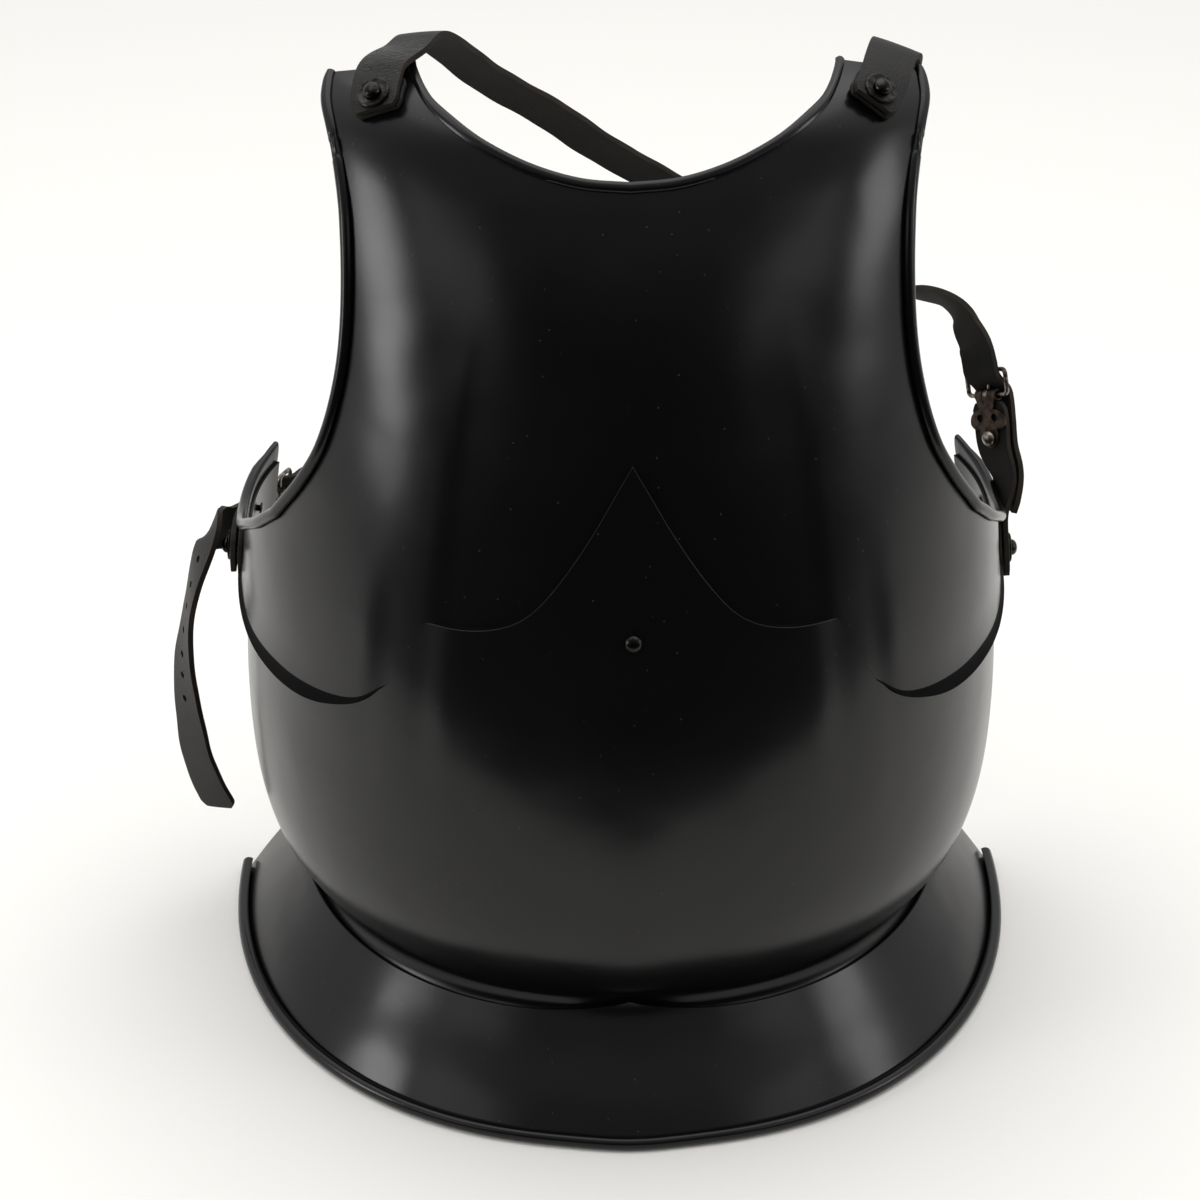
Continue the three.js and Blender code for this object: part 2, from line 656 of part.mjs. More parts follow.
// ---- The short straps that carry the buckles, from their riveted end up ----
const shortStraps = [
  [
    columnSpot(-84.5, 197, flankLift + layers.strap),
    raise(flankSpots[0], layers.strap),
    columnSpot(-94, 195.5, flankLift + layers.strap),
    columnSpot(-100, 193.5, flankLift + layers.strap),
    onBuckle(buckleSpots[0], hinge + 25, shortLift),
    onBuckle(buckleSpots[0], hinge + 14, shortLift),
    onBuckle(buckleSpots[0], hinge + buckle.knuckle + gap, shortLift),
  ],
  [
    columnSpot(86.2, 180, flankLift + layers.strap),
    raise(flankSpots[1], layers.strap),
    columnSpot(90.5, 206, flankLift + layers.strap),
    free(183.4, 4, 222, 0.95, 0.3, -0.05),
    onBuckle(buckleSpots[1], hinge + 26, shortLift),
    onBuckle(buckleSpots[1], hinge + 14, shortLift),
    onBuckle(buckleSpots[1], hinge + buckle.knuckle + gap, shortLift),
  ],
];
sides.forEach(([name], i) => {
  const rivetHole = onBuckle(buckleSpots[i], chapeRivetAt, 0);
  const solid = strapSolid(shortStraps[i], {});
  addPiece(`short_strap_${name}`, toGeometry(drill(solid, [flankSpots[i], rivetHole], rivet.bore, 20)), blackLeather);
});

// A strap comes in behind the far bar, rises through the frame and lies over the hinge bar.
function throughBuckle(spot) {
  return [[-18, -4], [-10, -3.1], [-5.4, -2.95], [-2.5, -1.5], [2, 3], [5, overHinge], [18, overHinge]].map(
    ([ahead, lift]) => onBuckle(spot, ahead, lift),
  );
}

// ---- Long straps: from a shoulder over the back to the buckle on the other flank, and a free tail ----
const longStraps = [
  [
    placeOver(-99.5, -77.5, layers.strap),
    raise(shoulderSpots[0], layers.strap),
    placeOver(-98, -60, layers.strap + 1),
    free(-90, -44, 450.5, -0.2, -0.1, 0.97),
    free(-81, -27, 451.5, -0.1, 0.1, 1),
    free(-72, -11, 446, 0.05, 0.6, 0.8),
    free(-61, 4, 428, 0.25, 0.9, 0.35),
    free(-32, 28, 397, 0.3, 0.87, 0.4),
    free(-4, 47, 370, 0.3, 0.85, 0.45),
    free(24, 62, 347, 0.2, 0.8, 0.55),
    free(62, 74, 322, 0.1, 0.65, 0.75),
    free(103, 73, 301, 0.05, 0.45, 0.9),
    free(138, 60, 292, 0.05, 0.37, 0.93),
    free(153, 49, 295, 0.2, 0.4, 0.9),
    free(161, 38, 293, 0.55, 0.5, 0.65),
    free(165, 31, 285, 0.72, 0.62, 0.3),
    ...throughBuckle(buckleSpots[1]),
    onBuckle(buckleSpots[1], hinge + 26, overHinge + 1.9),
    raise(shortStraps[1][3], overStrap + 3),
    columnSpot(90.4, 206, flankLift + layers.strap + overStrap + 1.6),
  ],
  [
    placeOver(97, -77.5, layers.strap),
    raise(shoulderSpots[1], layers.strap),
    placeOver(105, -60, layers.strap + 0.6),
    free(111, -45, 448, 0.3, 0.05, 0.95),
    free(114.5, -34, 441.5, 0.33, 0.55, 0.76),
    free(113, -25, 428, 0.33, 0.86, 0.38),
    free(101, -3, 402, 0.1, 0.97, 0.2),
    free(72, 32, 362, -0.1, 0.95, 0.3),
    free(30, 64, 314, -0.2, 0.93, 0.3),
    free(-20, 88, 269, -0.3, 0.92, 0.2),
    free(-75, 103, 230, -0.45, 0.88, 0.1),
    free(-125, 108, 199, -0.65, 0.75, 0.05),
    ...throughBuckle(buckleSpots[0]),
    free(-184.5, 44, 181, -0.97, 0.22, 0.05),
    free(-188.8, 22, 190, -1, 0.06, 0.08),
    free(-192, 4, 199, -0.9, -0.2, 0.4),
    free(-195, -6, 195, -0.7, -0.25, 0.65),
    free(-199.5, -9, 184, -0.9, -0.1, 0.4),
    free(-204, -10, 171, -1, 0.05, 0.1),
    free(-208.5, -10, 154, -0.97, -0.22, 0.05),
    free(-210.5, -10, 134, -0.9, -0.42, 0),
    free(-211.5, -9, 111, -0.88, -0.47, -0.05),
    free(-211, -8, 85, -0.87, -0.47, -0.12),
    free(-208.5, -6, 65, -0.85, -0.47, -0.2),
    free(-204, -5, 47, -0.83, -0.45, -0.3),
  ],
];
const tailEnds = [{ pointed: 6, firstHole: 0, holes: 0 }, { pointed: 9, firstHole: 68, holes: 7 }];
sides.forEach(([name], i) => {
  const places = longStraps[i];
  const { pointed, firstHole, holes } = tailEnds[i];
  const length = new THREE.CatmullRomCurve3(places.map((spot) => spot.point), false, 'centripetal').getLength();
  const spots = Array.from({ length: holes }, (_, k) => length - firstHole - k * strap.holeSpacing);
  const solid = strapSolid(places, { pointed, reach: 19, holes: spots });
  const prongHole = onBuckle(buckleSpots[1 - i], 0, 0.6);
  prongHole.facing = onBuckle(buckleSpots[1 - i], -10, 2).point.sub(buckleSpots[1 - i].point).normalize();
  const bored = drill(drill(solid, [shoulderSpots[i]], rivet.bore, 20), [prongHole], rivet.bore, 14);
  addPiece(`long_strap_${name}`, toGeometry(bored), blackLeather);
});

// ---- Leather pads under the riveted ends ----
function addPad(name, places, spot) {
  const solid = strapSolid(places, { thickness: pad.thickness });
  addPiece(name, toGeometry(drill(solid, [spot])), blackLeather);
}

addPad('flank_pad_left', [-83, -88, -93].map((column) => columnSpot(column, 196.5, flankLift + layers.pad)),
  flankSpots[0]);
const rightPad = [[86, 179], [88, 191.5], [89.5, 201]];
addPad('flank_pad_right', rightPad.map(([column, height]) => columnSpot(column, height, flankLift + layers.pad)),
  flankSpots[1]);
sides.forEach(([name], i) => {
  const rows = longStraps[i].slice(0, 3).map((row) => raise(row, layers.pad - layers.strap));
  rows[2].point.lerp(rows[1].point, 0.2);
  addPad(`shoulder_pad_${name}`, rows, shoulderSpots[i]);
});

// The origin is under the middle of the whole, on the floor.
const box = new THREE.Box3().setFromObject(group, true);
const middle = box.getCenter(new THREE.Vector3());
group.position.set(-middle.x, -middle.y, -box.min.z);

export default group;
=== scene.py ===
# A blackened steel breastplate in three plates, with leather straps that cross behind it.
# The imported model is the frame, and every piece here stands for one of its nodes.
import math
from bisect import bisect_right

import bmesh
import bpy
from mathutils import Matrix, Vector


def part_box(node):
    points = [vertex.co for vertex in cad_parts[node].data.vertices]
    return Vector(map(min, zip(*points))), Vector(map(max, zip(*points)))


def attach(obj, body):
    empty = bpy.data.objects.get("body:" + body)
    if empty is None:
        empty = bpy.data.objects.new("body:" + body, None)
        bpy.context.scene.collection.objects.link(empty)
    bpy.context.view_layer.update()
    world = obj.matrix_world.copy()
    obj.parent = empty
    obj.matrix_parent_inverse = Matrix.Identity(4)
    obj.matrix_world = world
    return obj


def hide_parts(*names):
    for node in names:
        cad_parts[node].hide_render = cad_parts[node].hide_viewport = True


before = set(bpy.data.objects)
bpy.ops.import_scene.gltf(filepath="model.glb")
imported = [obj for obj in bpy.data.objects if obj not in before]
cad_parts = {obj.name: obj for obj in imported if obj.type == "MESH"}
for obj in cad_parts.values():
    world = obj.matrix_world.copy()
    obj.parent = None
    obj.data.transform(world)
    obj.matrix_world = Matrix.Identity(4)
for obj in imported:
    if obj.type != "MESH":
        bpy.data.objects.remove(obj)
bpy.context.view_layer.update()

MM = 0.001

# ---- Sizes, in millimetres ----
PLATE = {"thickness": 1.5, "lap": 2.1, "overlap": 0.3, "worn": 0.3}
ROLL = {"neck": 2.4, "arm": 2.6, "hem": 3.2, "sweep": 285, "steps": 12}
STRAP = {"width": 20.5, "thickness": 2.6, "clip": 4, "worn": 0.45}
HOLES = {"radius": 1.8, "spacing": 13, "count": 7, "first": 68}
PAD = {"width": 21.7, "thickness": 2.2}
RIVET = {"dome": 3.8, "dome_height": 2.8, "shank": 1.5, "tail": 2.8, "tail_height": 1.2}
WASHER = {"radius": 7, "thickness": 1}
BUCKLE = {"width": 27, "length": 14, "wire": 2.2, "corner": 2.2, "knuckle": 2.9, "chape": 1, "prong": 0.8}
GAP = 0.35
BACK_DEPTH = 117
RING_POWER = 2.2

# The body of the wearer as level rings: height, half width, depth in front, height of the ridge.
BODY_RINGS = [
    (32, 163.4, 176.6, 1), (38, 158.5, 171, 1), (44, 153.8, 165.6, 1), (50, 153, 164.2, 1),
    (56, 157.5, 168.5, 1.5), (64, 164, 175.5, 2), (80, 171.8, 185.5, 2.5), (105, 176.6, 193, 2.5),
    (140, 177.8, 196, 2.5), (175, 176.5, 194, 1.5), (210, 174.5, 189, 0.5), (245, 171, 180, 0),
    (280, 166, 170, 0), (315, 159, 158.5, 0), (350, 154, 145, 0), (380, 152, 132, 0),
    (405, 151, 119, 0), (420, 149, 110, 0), (430, 145, 103, 0), (437, 138, 95, 0),
    (441, 131, 86, 0), (444, 123, 76, 0), (446.5, 116, 66, 0),
]
# The waist skirt, in the same columns.
SKIRT_RINGS = [
    (0, 189, 207.5, 2), (3, 187, 205, 2), (16, 178, 194, 2), (30, 167.5, 181, 2),
    (40, 160, 172.5, 2), (46, 155.5, 168, 2), (52, 153.5, 166.2, 2),
]
# Armhole above the seam of the two blocks of the breast plate: height, angle from the front.
ARMHOLE_SIDE = [
    (258, 59), (280, 53), (300, 49.4), (330, 47.8), (360, 48.9), (390, 52), (410, 56.1),
    (425, 61.2), (434, 66.2), (439, 69.9), (446.5, 76),
]
# Armhole below that seam, round to the back edge: angle, height.
ARMHOLE_FLOOR = [
    (59, 258), (62, 251.5), (66, 243), (71, 234.7), (77, 225), (84, 217), (91, 214),
    (98, 217), (105, 223),
]
# Edges of the plates: angle, height.
NECKLINE = [(0, 413.8), (10, 415.2), (20, 419.5), (30, 426.2), (40, 434.2), (50, 440.8), (59.5, 445.2)]
PEAK_LINE = [
    (0, 313.6), (2.6, 301.5), (5.2, 288.5), (9.2, 270), (12.5, 257), (15, 250.6), (18, 246.6),
    (22, 244.3), (27.7, 243.8),
]
SLIT_LINE = [(27.7, 243.8), (33, 212)]
FLANK_LINE = [
    (33, 212), (36.5, 201.5), (40, 195.5), (45, 190.5), (51, 187.8), (59, 186.8), (66, 186.8),
    (75, 188.5), (85, 192), (95, 196), (105, 199),
]
# Angles at which the lap of the two upper plates changes, and how far the belly plate slips under.
LAP = {
    "tongue_end": 22, "peak_full": 24, "peak_end": 27.7, "flank_start": 33, "flank_full": 37,
    "flank_slip": 0.35,
}
TONGUE = {"centre_height": 226, "flank_rise": 16}
SEAM = {"height": 258, "angle": 59}
SHOULDER = {"outer_height": 439, "corner_angle": 59.5, "corner_height": 445.2}
# The lip turned out along the flank: angles, lifts, height of the lip and its rows of faces.
LIP = {"start": 30, "full": 48, "flare": 1.1, "rise": 1.8, "reach": 6, "least": 0.4, "rows": 6}
SKIRT_TOP = {"height": 43.3, "cusp": 7, "cusp_angle": 7}
HEM_FOOT = 2.3
HEM_REACH = 212.84
BACK_RIM = 92.4
BACK_LEAN = 12.6 / 220
BACK_COLUMN = 105
# Where the left shoulder's strap is creased, and how far the creases reach.
CREASES = {"at": (-95, -56, 452), "full": 9, "end": 19}

# The frame's origin is under the middle of the whole object; the tables' is on the body's own axis.
skirt_low, skirt_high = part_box("waist_skirt")
ORIGIN = Vector(((skirt_low.x + skirt_high.x) / 2, skirt_low.y + HEM_REACH * MM, 0))


# ---- Tables and the body surface ----
def read(table, key):
    """A smooth curve through the rows of a table, read at a value of its first column."""
    last = len(table) - 1
    i = min(max(bisect_right(table, key, key=lambda row: row[0]) - 1, 0), last - 1)
    step = table[i + 1][0] - table[i][0]
    t = (key - table[i][0]) / step

    def slope(row, column):
        before = table[max(row - 1, 0)]
        after = table[min(row + 1, last)]
        return (after[column] - before[column]) / (after[0] - before[0])

    values = []
    for column in range(1, len(table[0])):
        start = table[i][column]
        end = table[i + 1][column]
        rise = step * slope(i, column)
        fall = step * slope(i + 1, column)
        bend = 3 * (end - start) - 2 * rise - fall + t * (2 * (start - end) + rise + fall)
        values.append(start + t * (rise + t * bend))
    return values


def smooth(value, start, end):
    """0 before start, 1 past end, and an easy rise between."""
    t = min(max((value - start) / (end - start), 0), 1)
    return t * t * (3 - 2 * t)


def mix(a, b, t):
    return a + (b - a) * t


def angle_of(point):
    return abs(math.degrees(math.atan2(point.x, -point.y)))


def ring_point(rings, angle, height):
    """A point of the rings: flattened ovals, deeper in front than behind, with a ridge in front."""
    half_width, depth, ridge = read(rings, height)
    turn = math.radians(angle)
    side = abs(math.sin(turn)) / half_width
    ahead = abs(math.cos(turn)) / (depth if math.cos(turn) > 0 else BACK_DEPTH)
    radius = (side**RING_POWER + ahead**RING_POWER) ** (-1 / RING_POWER)
    radius += ridge * math.exp(-((angle / 6) ** 2))
    return Vector((radius * math.sin(turn), -radius * math.cos(turn), height))


def place(rings, angle, height, lift=0):
    """A point on the body and the direction that faces outward there."""
    across = ring_point(rings, angle + 0.1, height) - ring_point(rings, angle - 0.1, height)
    upward = ring_point(rings, angle, height + 0.1) - ring_point(rings, angle, height - 0.1)
    facing = across.cross(upward).normalized()
    return ring_point(rings, angle, height) + facing * lift, facing


def place_over(x, y, lift):
    """The place on the shoulder that lies over a point of the plan."""
    angle = math.degrees(math.atan2(x, -y))
    low, high = 380, BODY_RINGS[-1][0]
    while high - low > 0.01:
        middle = (low + high) / 2
        point = ring_point(BODY_RINGS, angle, middle)
        if math.hypot(point.x, point.y) > math.hypot(x, y):
            low = middle
        else:
            high = middle
    return place(BODY_RINGS, angle, low, lift)


def spread(angle, height):
    """Past the seam, the columns spread to the back edge, which leans forward as it goes down."""
    beyond = abs(angle) - SEAM["angle"]
    if beyond <= 0:
        return angle
    back = BACK_RIM + BACK_LEAN * min(height, 220)
    share = beyond / (BACK_COLUMN - SEAM["angle"])
    return math.copysign(SEAM["angle"] + share * (back - SEAM["angle"]), angle)


def column_spot(column, height, lift):
    """A place on the plates, by its column."""
    return place(BODY_RINGS, spread(column, height), height, lift)


def raised(spot, lift):
    """A place further out than another one."""
    return spot[0] + spot[1] * lift, spot[1]


def free(x, y, z, *facing):
    """A place off the plates, where a strap hangs free."""
    return Vector((x, y, z)), Vector(facing).normalized()


# ---- Outlines of the plates ----
def lap_side(angle):
    """+1 where the belly plate laps over the breast plate, -1 where it slips under, 0 between."""
    away = abs(angle)
    if away < LAP["peak_end"]:
        return 1 - smooth(away, LAP["peak_full"], LAP["peak_end"])
    return -smooth(away, LAP["flank_start"], LAP["flank_full"])


def breast_lift(angle, height):
    """How far the breast plate stands off the body: in under the peak, and out over the flank."""
    side = lap_side(angle)
    fade = 1 - smooth(height, 320, 370) if side > 0 else 1 - smooth(height, 225, 280)
    stand_off = LIP["flare"] * (1 - smooth(height - breast_foot(angle), 0, 24)) ** 2
    share = 1 - (height - breast_foot(angle)) / max(lip_reach(angle), LIP["least"])
    stand_off += LIP["rise"] * max(share, 0) ** 1.4
    return smooth(abs(angle), LIP["start"], LIP["full"]) * stand_off - PLATE["lap"] / 2 * side * fade


def lip_reach(angle):
    """Height of the lip that is turned out at the breast plate's foot. It narrows round the side."""
    away = abs(angle)
    return LIP["reach"] * smooth(away, LIP["start"], LIP["full"]) * (1 - 0.45 * smooth(away, 52, 72))


def belly_lift(angle, height):
    """How far the belly plate stands off the body: out over the peak, and in under the flank."""
    side = lap_side(angle)
    fade = smooth(height, 140, 215) if side > 0 else LAP["flank_slip"] * smooth(height, 120, 180)
    return PLATE["lap"] / 2 * side * fade


def breast_foot(angle):
    """Height of the breast plate's lower edge: a tongue under the peak, then along the flank."""
    away = abs(angle)
    if away <= LAP["tongue_end"]:
        return TONGUE["centre_height"]
    if away <= LAP["peak_end"]:
        return read(PEAK_LINE, away)[0] - PLATE["overlap"]
    if away <= LAP["flank_start"]:
        return read(SLIT_LINE, away)[0] - PLATE["overlap"]
    return read(FLANK_LINE, away)[0]


def belly_head(angle):
    """Height of the belly plate's upper edge: the peak, then a tongue under the flank."""
    away = abs(angle)
    if away <= LAP["peak_end"]:
        return read(PEAK_LINE, away)[0]
    if away <= LAP["flank_start"]:
        return read(SLIT_LINE, away)[0]
    if away <= LAP["flank_full"]:
        return read(FLANK_LINE, away)[0] + PLATE["overlap"]
    return read(FLANK_LINE, away)[0] + TONGUE["flank_rise"]


CORNER_SHARE = SHOULDER["corner_angle"] / read(ARMHOLE_SIDE, SHOULDER["corner_height"])[0]


def breast_head(share):
    """Height of the top of a column of the upper block."""
    if share >= CORNER_SHARE:
        t = (share - CORNER_SHARE) / (1 - CORNER_SHARE)
        return mix(SHOULDER["corner_height"], SHOULDER["outer_height"], t)
    height = NECKLINE[0][1]
    for _ in range(8):
        height = read(NECKLINE, share * read(ARMHOLE_SIDE, height)[0])[0]
    return height


# ---- Making meshes ----
def grid(columns, rows, at):
    """A sheet of squares whose corners lie where at(column, share of the way up) says."""
    bm = bmesh.new()
    bmesh.ops.create_grid(bm, x_segments=columns, y_segments=rows, size=0.5)
    for vert in bm.verts:
        vert.co = at(round((vert.co.x + 0.5) * columns), vert.co.y + 0.5)
    return bm


def columns_between(marks, spacing):
    """Angles from each mark to the next, mirrored about the front, no further apart than spacing."""
    angles = []
    for start, end in zip(marks, marks[1:]):
        steps = math.ceil((end - start) / spacing)
        angles += [mix(start, end, i / steps) for i in range(steps)]
    angles.append(marks[-1])
    return [-angle for angle in angles[:0:-1]] + angles


def join(bm, other, name):
    """Adds one shape to another."""
    part = bpy.data.meshes.new(name)
    other.to_mesh(part)
    other.free()
    bm.from_mesh(part)
    bpy.data.meshes.remove(part)


def roll_edge(bm, picks, radius, shape):
    """Rolls the open edges that picks() chooses outward, as a plate is rolled round a wire.

    shape() says how much of the radius the roll has in the plate's own plane and above it.
    """
    bm.normal_update()
    rim = [edge for edge in bm.edges if edge.is_boundary and all(picks(v.co) for v in edge.verts)]
    along = {}
    for edge in rim:
        loop = edge.link_loops[0]
        way = (loop.link_loop_next.vert.co - loop.vert.co).normalized()
        for vert in edge.verts:
            along[vert] = along.get(vert, Vector()) + way
    home = {}
    for vert, way in along.items():
        normal = vert.normal.copy()
        away = way.normalized().cross(normal).normalized()
        reach, rise = shape(vert.co)
        home[vert] = (vert.co.copy(), away * radius * reach, normal * radius * rise)
    for i in range(1, ROLL["steps"] + 1):
        turn = math.radians(ROLL["sweep"]) * i / ROLL["steps"]
        made = bmesh.ops.extrude_edge_only(bm, edges=rim)["geom"]
        fresh = {part for part in made if isinstance(part, bmesh.types.BMVert)}
        moved = {}
        for vert in fresh:
            beside = [edge.other_vert(vert) for edge in vert.link_edges]
            moved[vert] = next(home[other] for other in beside if other in home)
            start, out, up = moved[vert]
            vert.co = start + out * math.sin(turn) + up * (1 - math.cos(turn))
        rim = [part for part in made if isinstance(part, bmesh.types.BMEdge) and set(part.verts) <= fresh]
        home = moved


def finished(name, bm, finishes):
    """Makes a mesh object from a shape in millimetres on the body's axis, in its place in the frame."""
    bm.transform(Matrix.Translation(ORIGIN) @ Matrix.Scale(MM, 4))
    bm.normal_update()
    mesh = bpy.data.meshes.new(name)
    bm.to_mesh(mesh)
    bm.free()
    for finish in finishes:
        mesh.materials.append(finish)
    mesh.polygons.foreach_set("use_smooth", [True] * len(mesh.polygons))
    piece = bpy.data.objects.new(name, mesh)
    bpy.context.scene.collection.objects.link(piece)
    return piece


def give_wall(piece, thickness, offset, back=0, rim=0):
    """Gives a sheet its thickness. back and rim pick the materials of the inner side and the edge."""
    wall = piece.modifiers.new("wall", "SOLIDIFY")
    wall.thickness = thickness * MM
    wall.offset = offset
    wall.use_quality_normals = True
    wall.material_offset = back
    wall.material_offset_rim = rim


def soften_edges(piece, width, angle=50):
    """Rounds the edges that are sharper than an angle, as wear does."""
    edges = piece.modifiers.new("worn edges", "BEVEL")
    edges.width = width * MM
    edges.segments = 2
    edges.limit_method = "ANGLE"
    edges.angle_limit = math.radians(angle)
    edges.harden_normals = True


def stands_for(piece, node_name):
    """Puts a piece in the place of its node of the frame."""
    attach(piece, "root")
    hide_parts(node_name)


# ---- Materials ----
BLACK, WHITE = (0, 0, 0, 1), (1, 1, 1, 1)


def colour(code):
    """A hex colour, turned to the linear values that a shader takes."""
    shares = [int(code[i : i + 2], 16) / 255 for i in (1, 3, 5)]
    linear = [s / 12.92 if s <= 0.04045 else ((s + 0.055) / 1.055) ** 2.4 for s in shares]
    return (*linear, 1)


def node(tree, kind, links=None, **settings):
    """Adds a node, sets its properties and its input values, and links its inputs."""
    made = tree.nodes.new(kind)
    inputs = settings.pop("inputs", {})
    for name, value in settings.items():
        setattr(made, name, value)
    for name, value in inputs.items():
        made.inputs[name].default_value = value
    for name, source in (links or {}).items():
        tree.links.new(source, made.inputs[name])
    return made


def material(name):
    """An empty material, its node tree and its output."""
    made = bpy.data.materials.new(name)
    made.use_nodes = True
    tree = made.node_tree
    tree.nodes.clear()
    return made, tree, tree.nodes.new("ShaderNodeOutputMaterial")


def ramp(tree, source, *stops):
    """Turns a value to a shade between two stops, each a value and its shade."""
    made = node(tree, "ShaderNodeValToRGB", {"Fac": source})
    for element, (position, shade) in zip(made.color_ramp.elements, stops):
        element.position = position
        element.color = shade
    return made.outputs["Color"]


def black_enamel(name, smoothest, shine):
    """Baked black enamel on hammered steel sheet: a deep satin gloss over faint orange peel.

    Dust lies on it in specks. With its shine turned down, it is a flat black that gives back next to no
    light, used as painted shade.
    """
    made, tree, output = material(name)
    place_of = node(tree, "ShaderNodeTexCoord").outputs["Object"]
    over = {"Vector": place_of}
    peel = node(tree, "ShaderNodeTexNoise", over, inputs={"Scale": 1 / (2.2 * MM), "Detail": 2})
    hammer = node(tree, "ShaderNodeTexNoise", over, inputs={"Scale": 1 / (38 * MM), "Detail": 1})
    cloud = node(tree, "ShaderNodeTexNoise", over, inputs={"Scale": 1 / (55 * MM), "Detail": 5})
    dust = node(tree, "ShaderNodeTexVoronoi", over, inputs={"Scale": 1 / (7 * MM)})
    specks = ramp(tree, dust.outputs["Distance"], (0.035, WHITE), (0.06, BLACK))
    paint = node(
        tree, "ShaderNodeMix", {"Factor": specks}, data_type="RGBA",
        inputs={"A": colour("#0b0b0c"), "B": colour("#3c3a36")},
    )
    gloss = node(
        tree, "ShaderNodeMapRange", {"Value": cloud.outputs["Fac"]},
        inputs={"From Min": 0.3, "From Max": 0.7, "To Min": smoothest, "To Max": smoothest + 0.07},
    )
    waves = node(
        tree, "ShaderNodeBump", {"Height": hammer.outputs["Fac"]},
        inputs={"Strength": 0.45, "Distance": 1.2 * MM},
    )
    skin = node(
        tree, "ShaderNodeBump", {"Height": peel.outputs["Fac"], "Normal": waves.outputs["Normal"]},
        inputs={"Strength": 0.22, "Distance": 0.06 * MM},
    )
    shader = node(
        tree, "ShaderNodeBsdfPrincipled",
        {
            "Base Color": paint.outputs["Result"], "Roughness": gloss.outputs["Result"],
            "Normal": skin.outputs["Normal"],
        },
        inputs={"Metallic": 0, "IOR": 1.5, "Specular IOR Level": shine},
    )
    tree.links.new(shader.outputs["BSDF"], output.inputs["Surface"])
    return made


def dark_steel(name, clean, dirt, shine):
    """Forged mild steel, oil blackened and handled: dark in its pits, bright where it is rubbed."""
    made, tree, output = material(name)
    place_of = node(tree, "ShaderNodeTexCoord").outputs["Object"]
    over = {"Vector": place_of}
    mottle = node(tree, "ShaderNodeTexNoise", over, inputs={"Scale": 1 / (3 * MM), "Detail": 5})
    grit = node(tree, "ShaderNodeTexNoise", over, inputs={"Scale": 1 / (0.5 * MM), "Detail": 3})
    tone = node(
        tree, "ShaderNodeMix",
        {"Factor": ramp(tree, mottle.outputs["Fac"], (0.4, BLACK), (0.62, WHITE))},
        data_type="RGBA", inputs={"A": colour(clean), "B": colour(dirt)},
    )
    rough = node(
        tree, "ShaderNodeMapRange", {"Value": mottle.outputs["Fac"]},
        inputs={"From Min": 0.3, "From Max": 0.7, "To Min": shine, "To Max": shine + 0.2},
    )
    pits = node(
        tree, "ShaderNodeBump", {"Height": grit.outputs["Fac"]},
        inputs={"Strength": 0.25, "Distance": 0.15 * MM},
    )
    shader = node(
        tree, "ShaderNodeBsdfPrincipled",
        {
            "Base Color": tone.outputs["Result"], "Roughness": rough.outputs["Result"],
            "Normal": pits.outputs["Normal"],
        },
        inputs={"Metallic": 1},
    )
    tree.links.new(shader.outputs["BSDF"], output.inputs["Surface"])
    return made


def leather(name, dark, light, grain, depth, rough, creases=0):
    """Vegetable tanned cowhide, dyed black and waxed: pebbled grain outside, fibrous flesh inside.

    Over the left shoulder's rivet the grain is creased, and the wax shines on the folds.
    """
    made, tree, output = material(name)
    place_of = node(tree, "ShaderNodeTexCoord").outputs["Object"]
    over = {"Vector": place_of}
    pebble = node(
        tree, "ShaderNodeTexVoronoi", over, feature="DISTANCE_TO_EDGE",
        inputs={"Scale": 1 / (grain * MM)},
    )
    fibre = node(tree, "ShaderNodeTexNoise", over, inputs={"Scale": 1 / (grain * 0.5 * MM), "Detail": 6})
    patch = node(tree, "ShaderNodeTexNoise", over, inputs={"Scale": 1 / (14 * MM), "Detail": 4})
    tone = node(
        tree, "ShaderNodeMix",
        {"Factor": ramp(tree, patch.outputs["Fac"], (0.35, BLACK), (0.7, WHITE))},
        data_type="RGBA", inputs={"A": colour(dark), "B": colour(light)},
    )
    height = node(
        tree, "ShaderNodeMix", {"A": pebble.outputs["Distance"], "B": fibre.outputs["Fac"]},
        inputs={"Factor": 0.5},
    )
    skin = node(
        tree, "ShaderNodeBump", {"Height": height.outputs["Result"]},
        inputs={"Strength": depth, "Distance": 0.6 * MM},
    )
    away = node(tree, "ShaderNodeVectorMath", {0: place_of}, operation="DISTANCE")
    away.inputs[1].default_value = ORIGIN + Vector(CREASES["at"]) * MM
    near = node(
        tree, "ShaderNodeMapRange", {"Value": away.outputs["Value"]},
        inputs={
            "From Min": CREASES["full"] * MM, "From Max": CREASES["end"] * MM,
            "To Min": creases, "To Max": 0,
        },
    )
    stretch = node(
        tree, "ShaderNodeMapping", over,
        inputs={"Scale": (0.35, 1.6, 1.6), "Rotation": (0, 0, 0.5)},
    )
    fold = node(
        tree, "ShaderNodeTexNoise", {"Vector": stretch.outputs["Vector"]},
        inputs={"Scale": 1 / (2.6 * MM), "Detail": 3, "Distortion": 1.2},
    )
    folds = node(
        tree, "ShaderNodeBump",
        {
            "Height": fold.outputs["Fac"], "Strength": near.outputs["Result"],
            "Normal": skin.outputs["Normal"],
        },
        inputs={"Distance": 3 * MM},
    )
    wax = node(
        tree, "ShaderNodeMapRange", {"Value": near.outputs["Result"]},
        inputs={"From Min": 0, "From Max": 1, "To Min": rough, "To Max": 0.2},
    )
    shader = node(
        tree, "ShaderNodeBsdfPrincipled",
        {
            "Base Color": tone.outputs["Result"], "Roughness": wax.outputs["Result"],
            "Normal": folds.outputs["Normal"],
        },
        inputs={"Specular IOR Level": 0.25},
    )
    tree.links.new(shader.outputs["BSDF"], output.inputs["Surface"])
    return made


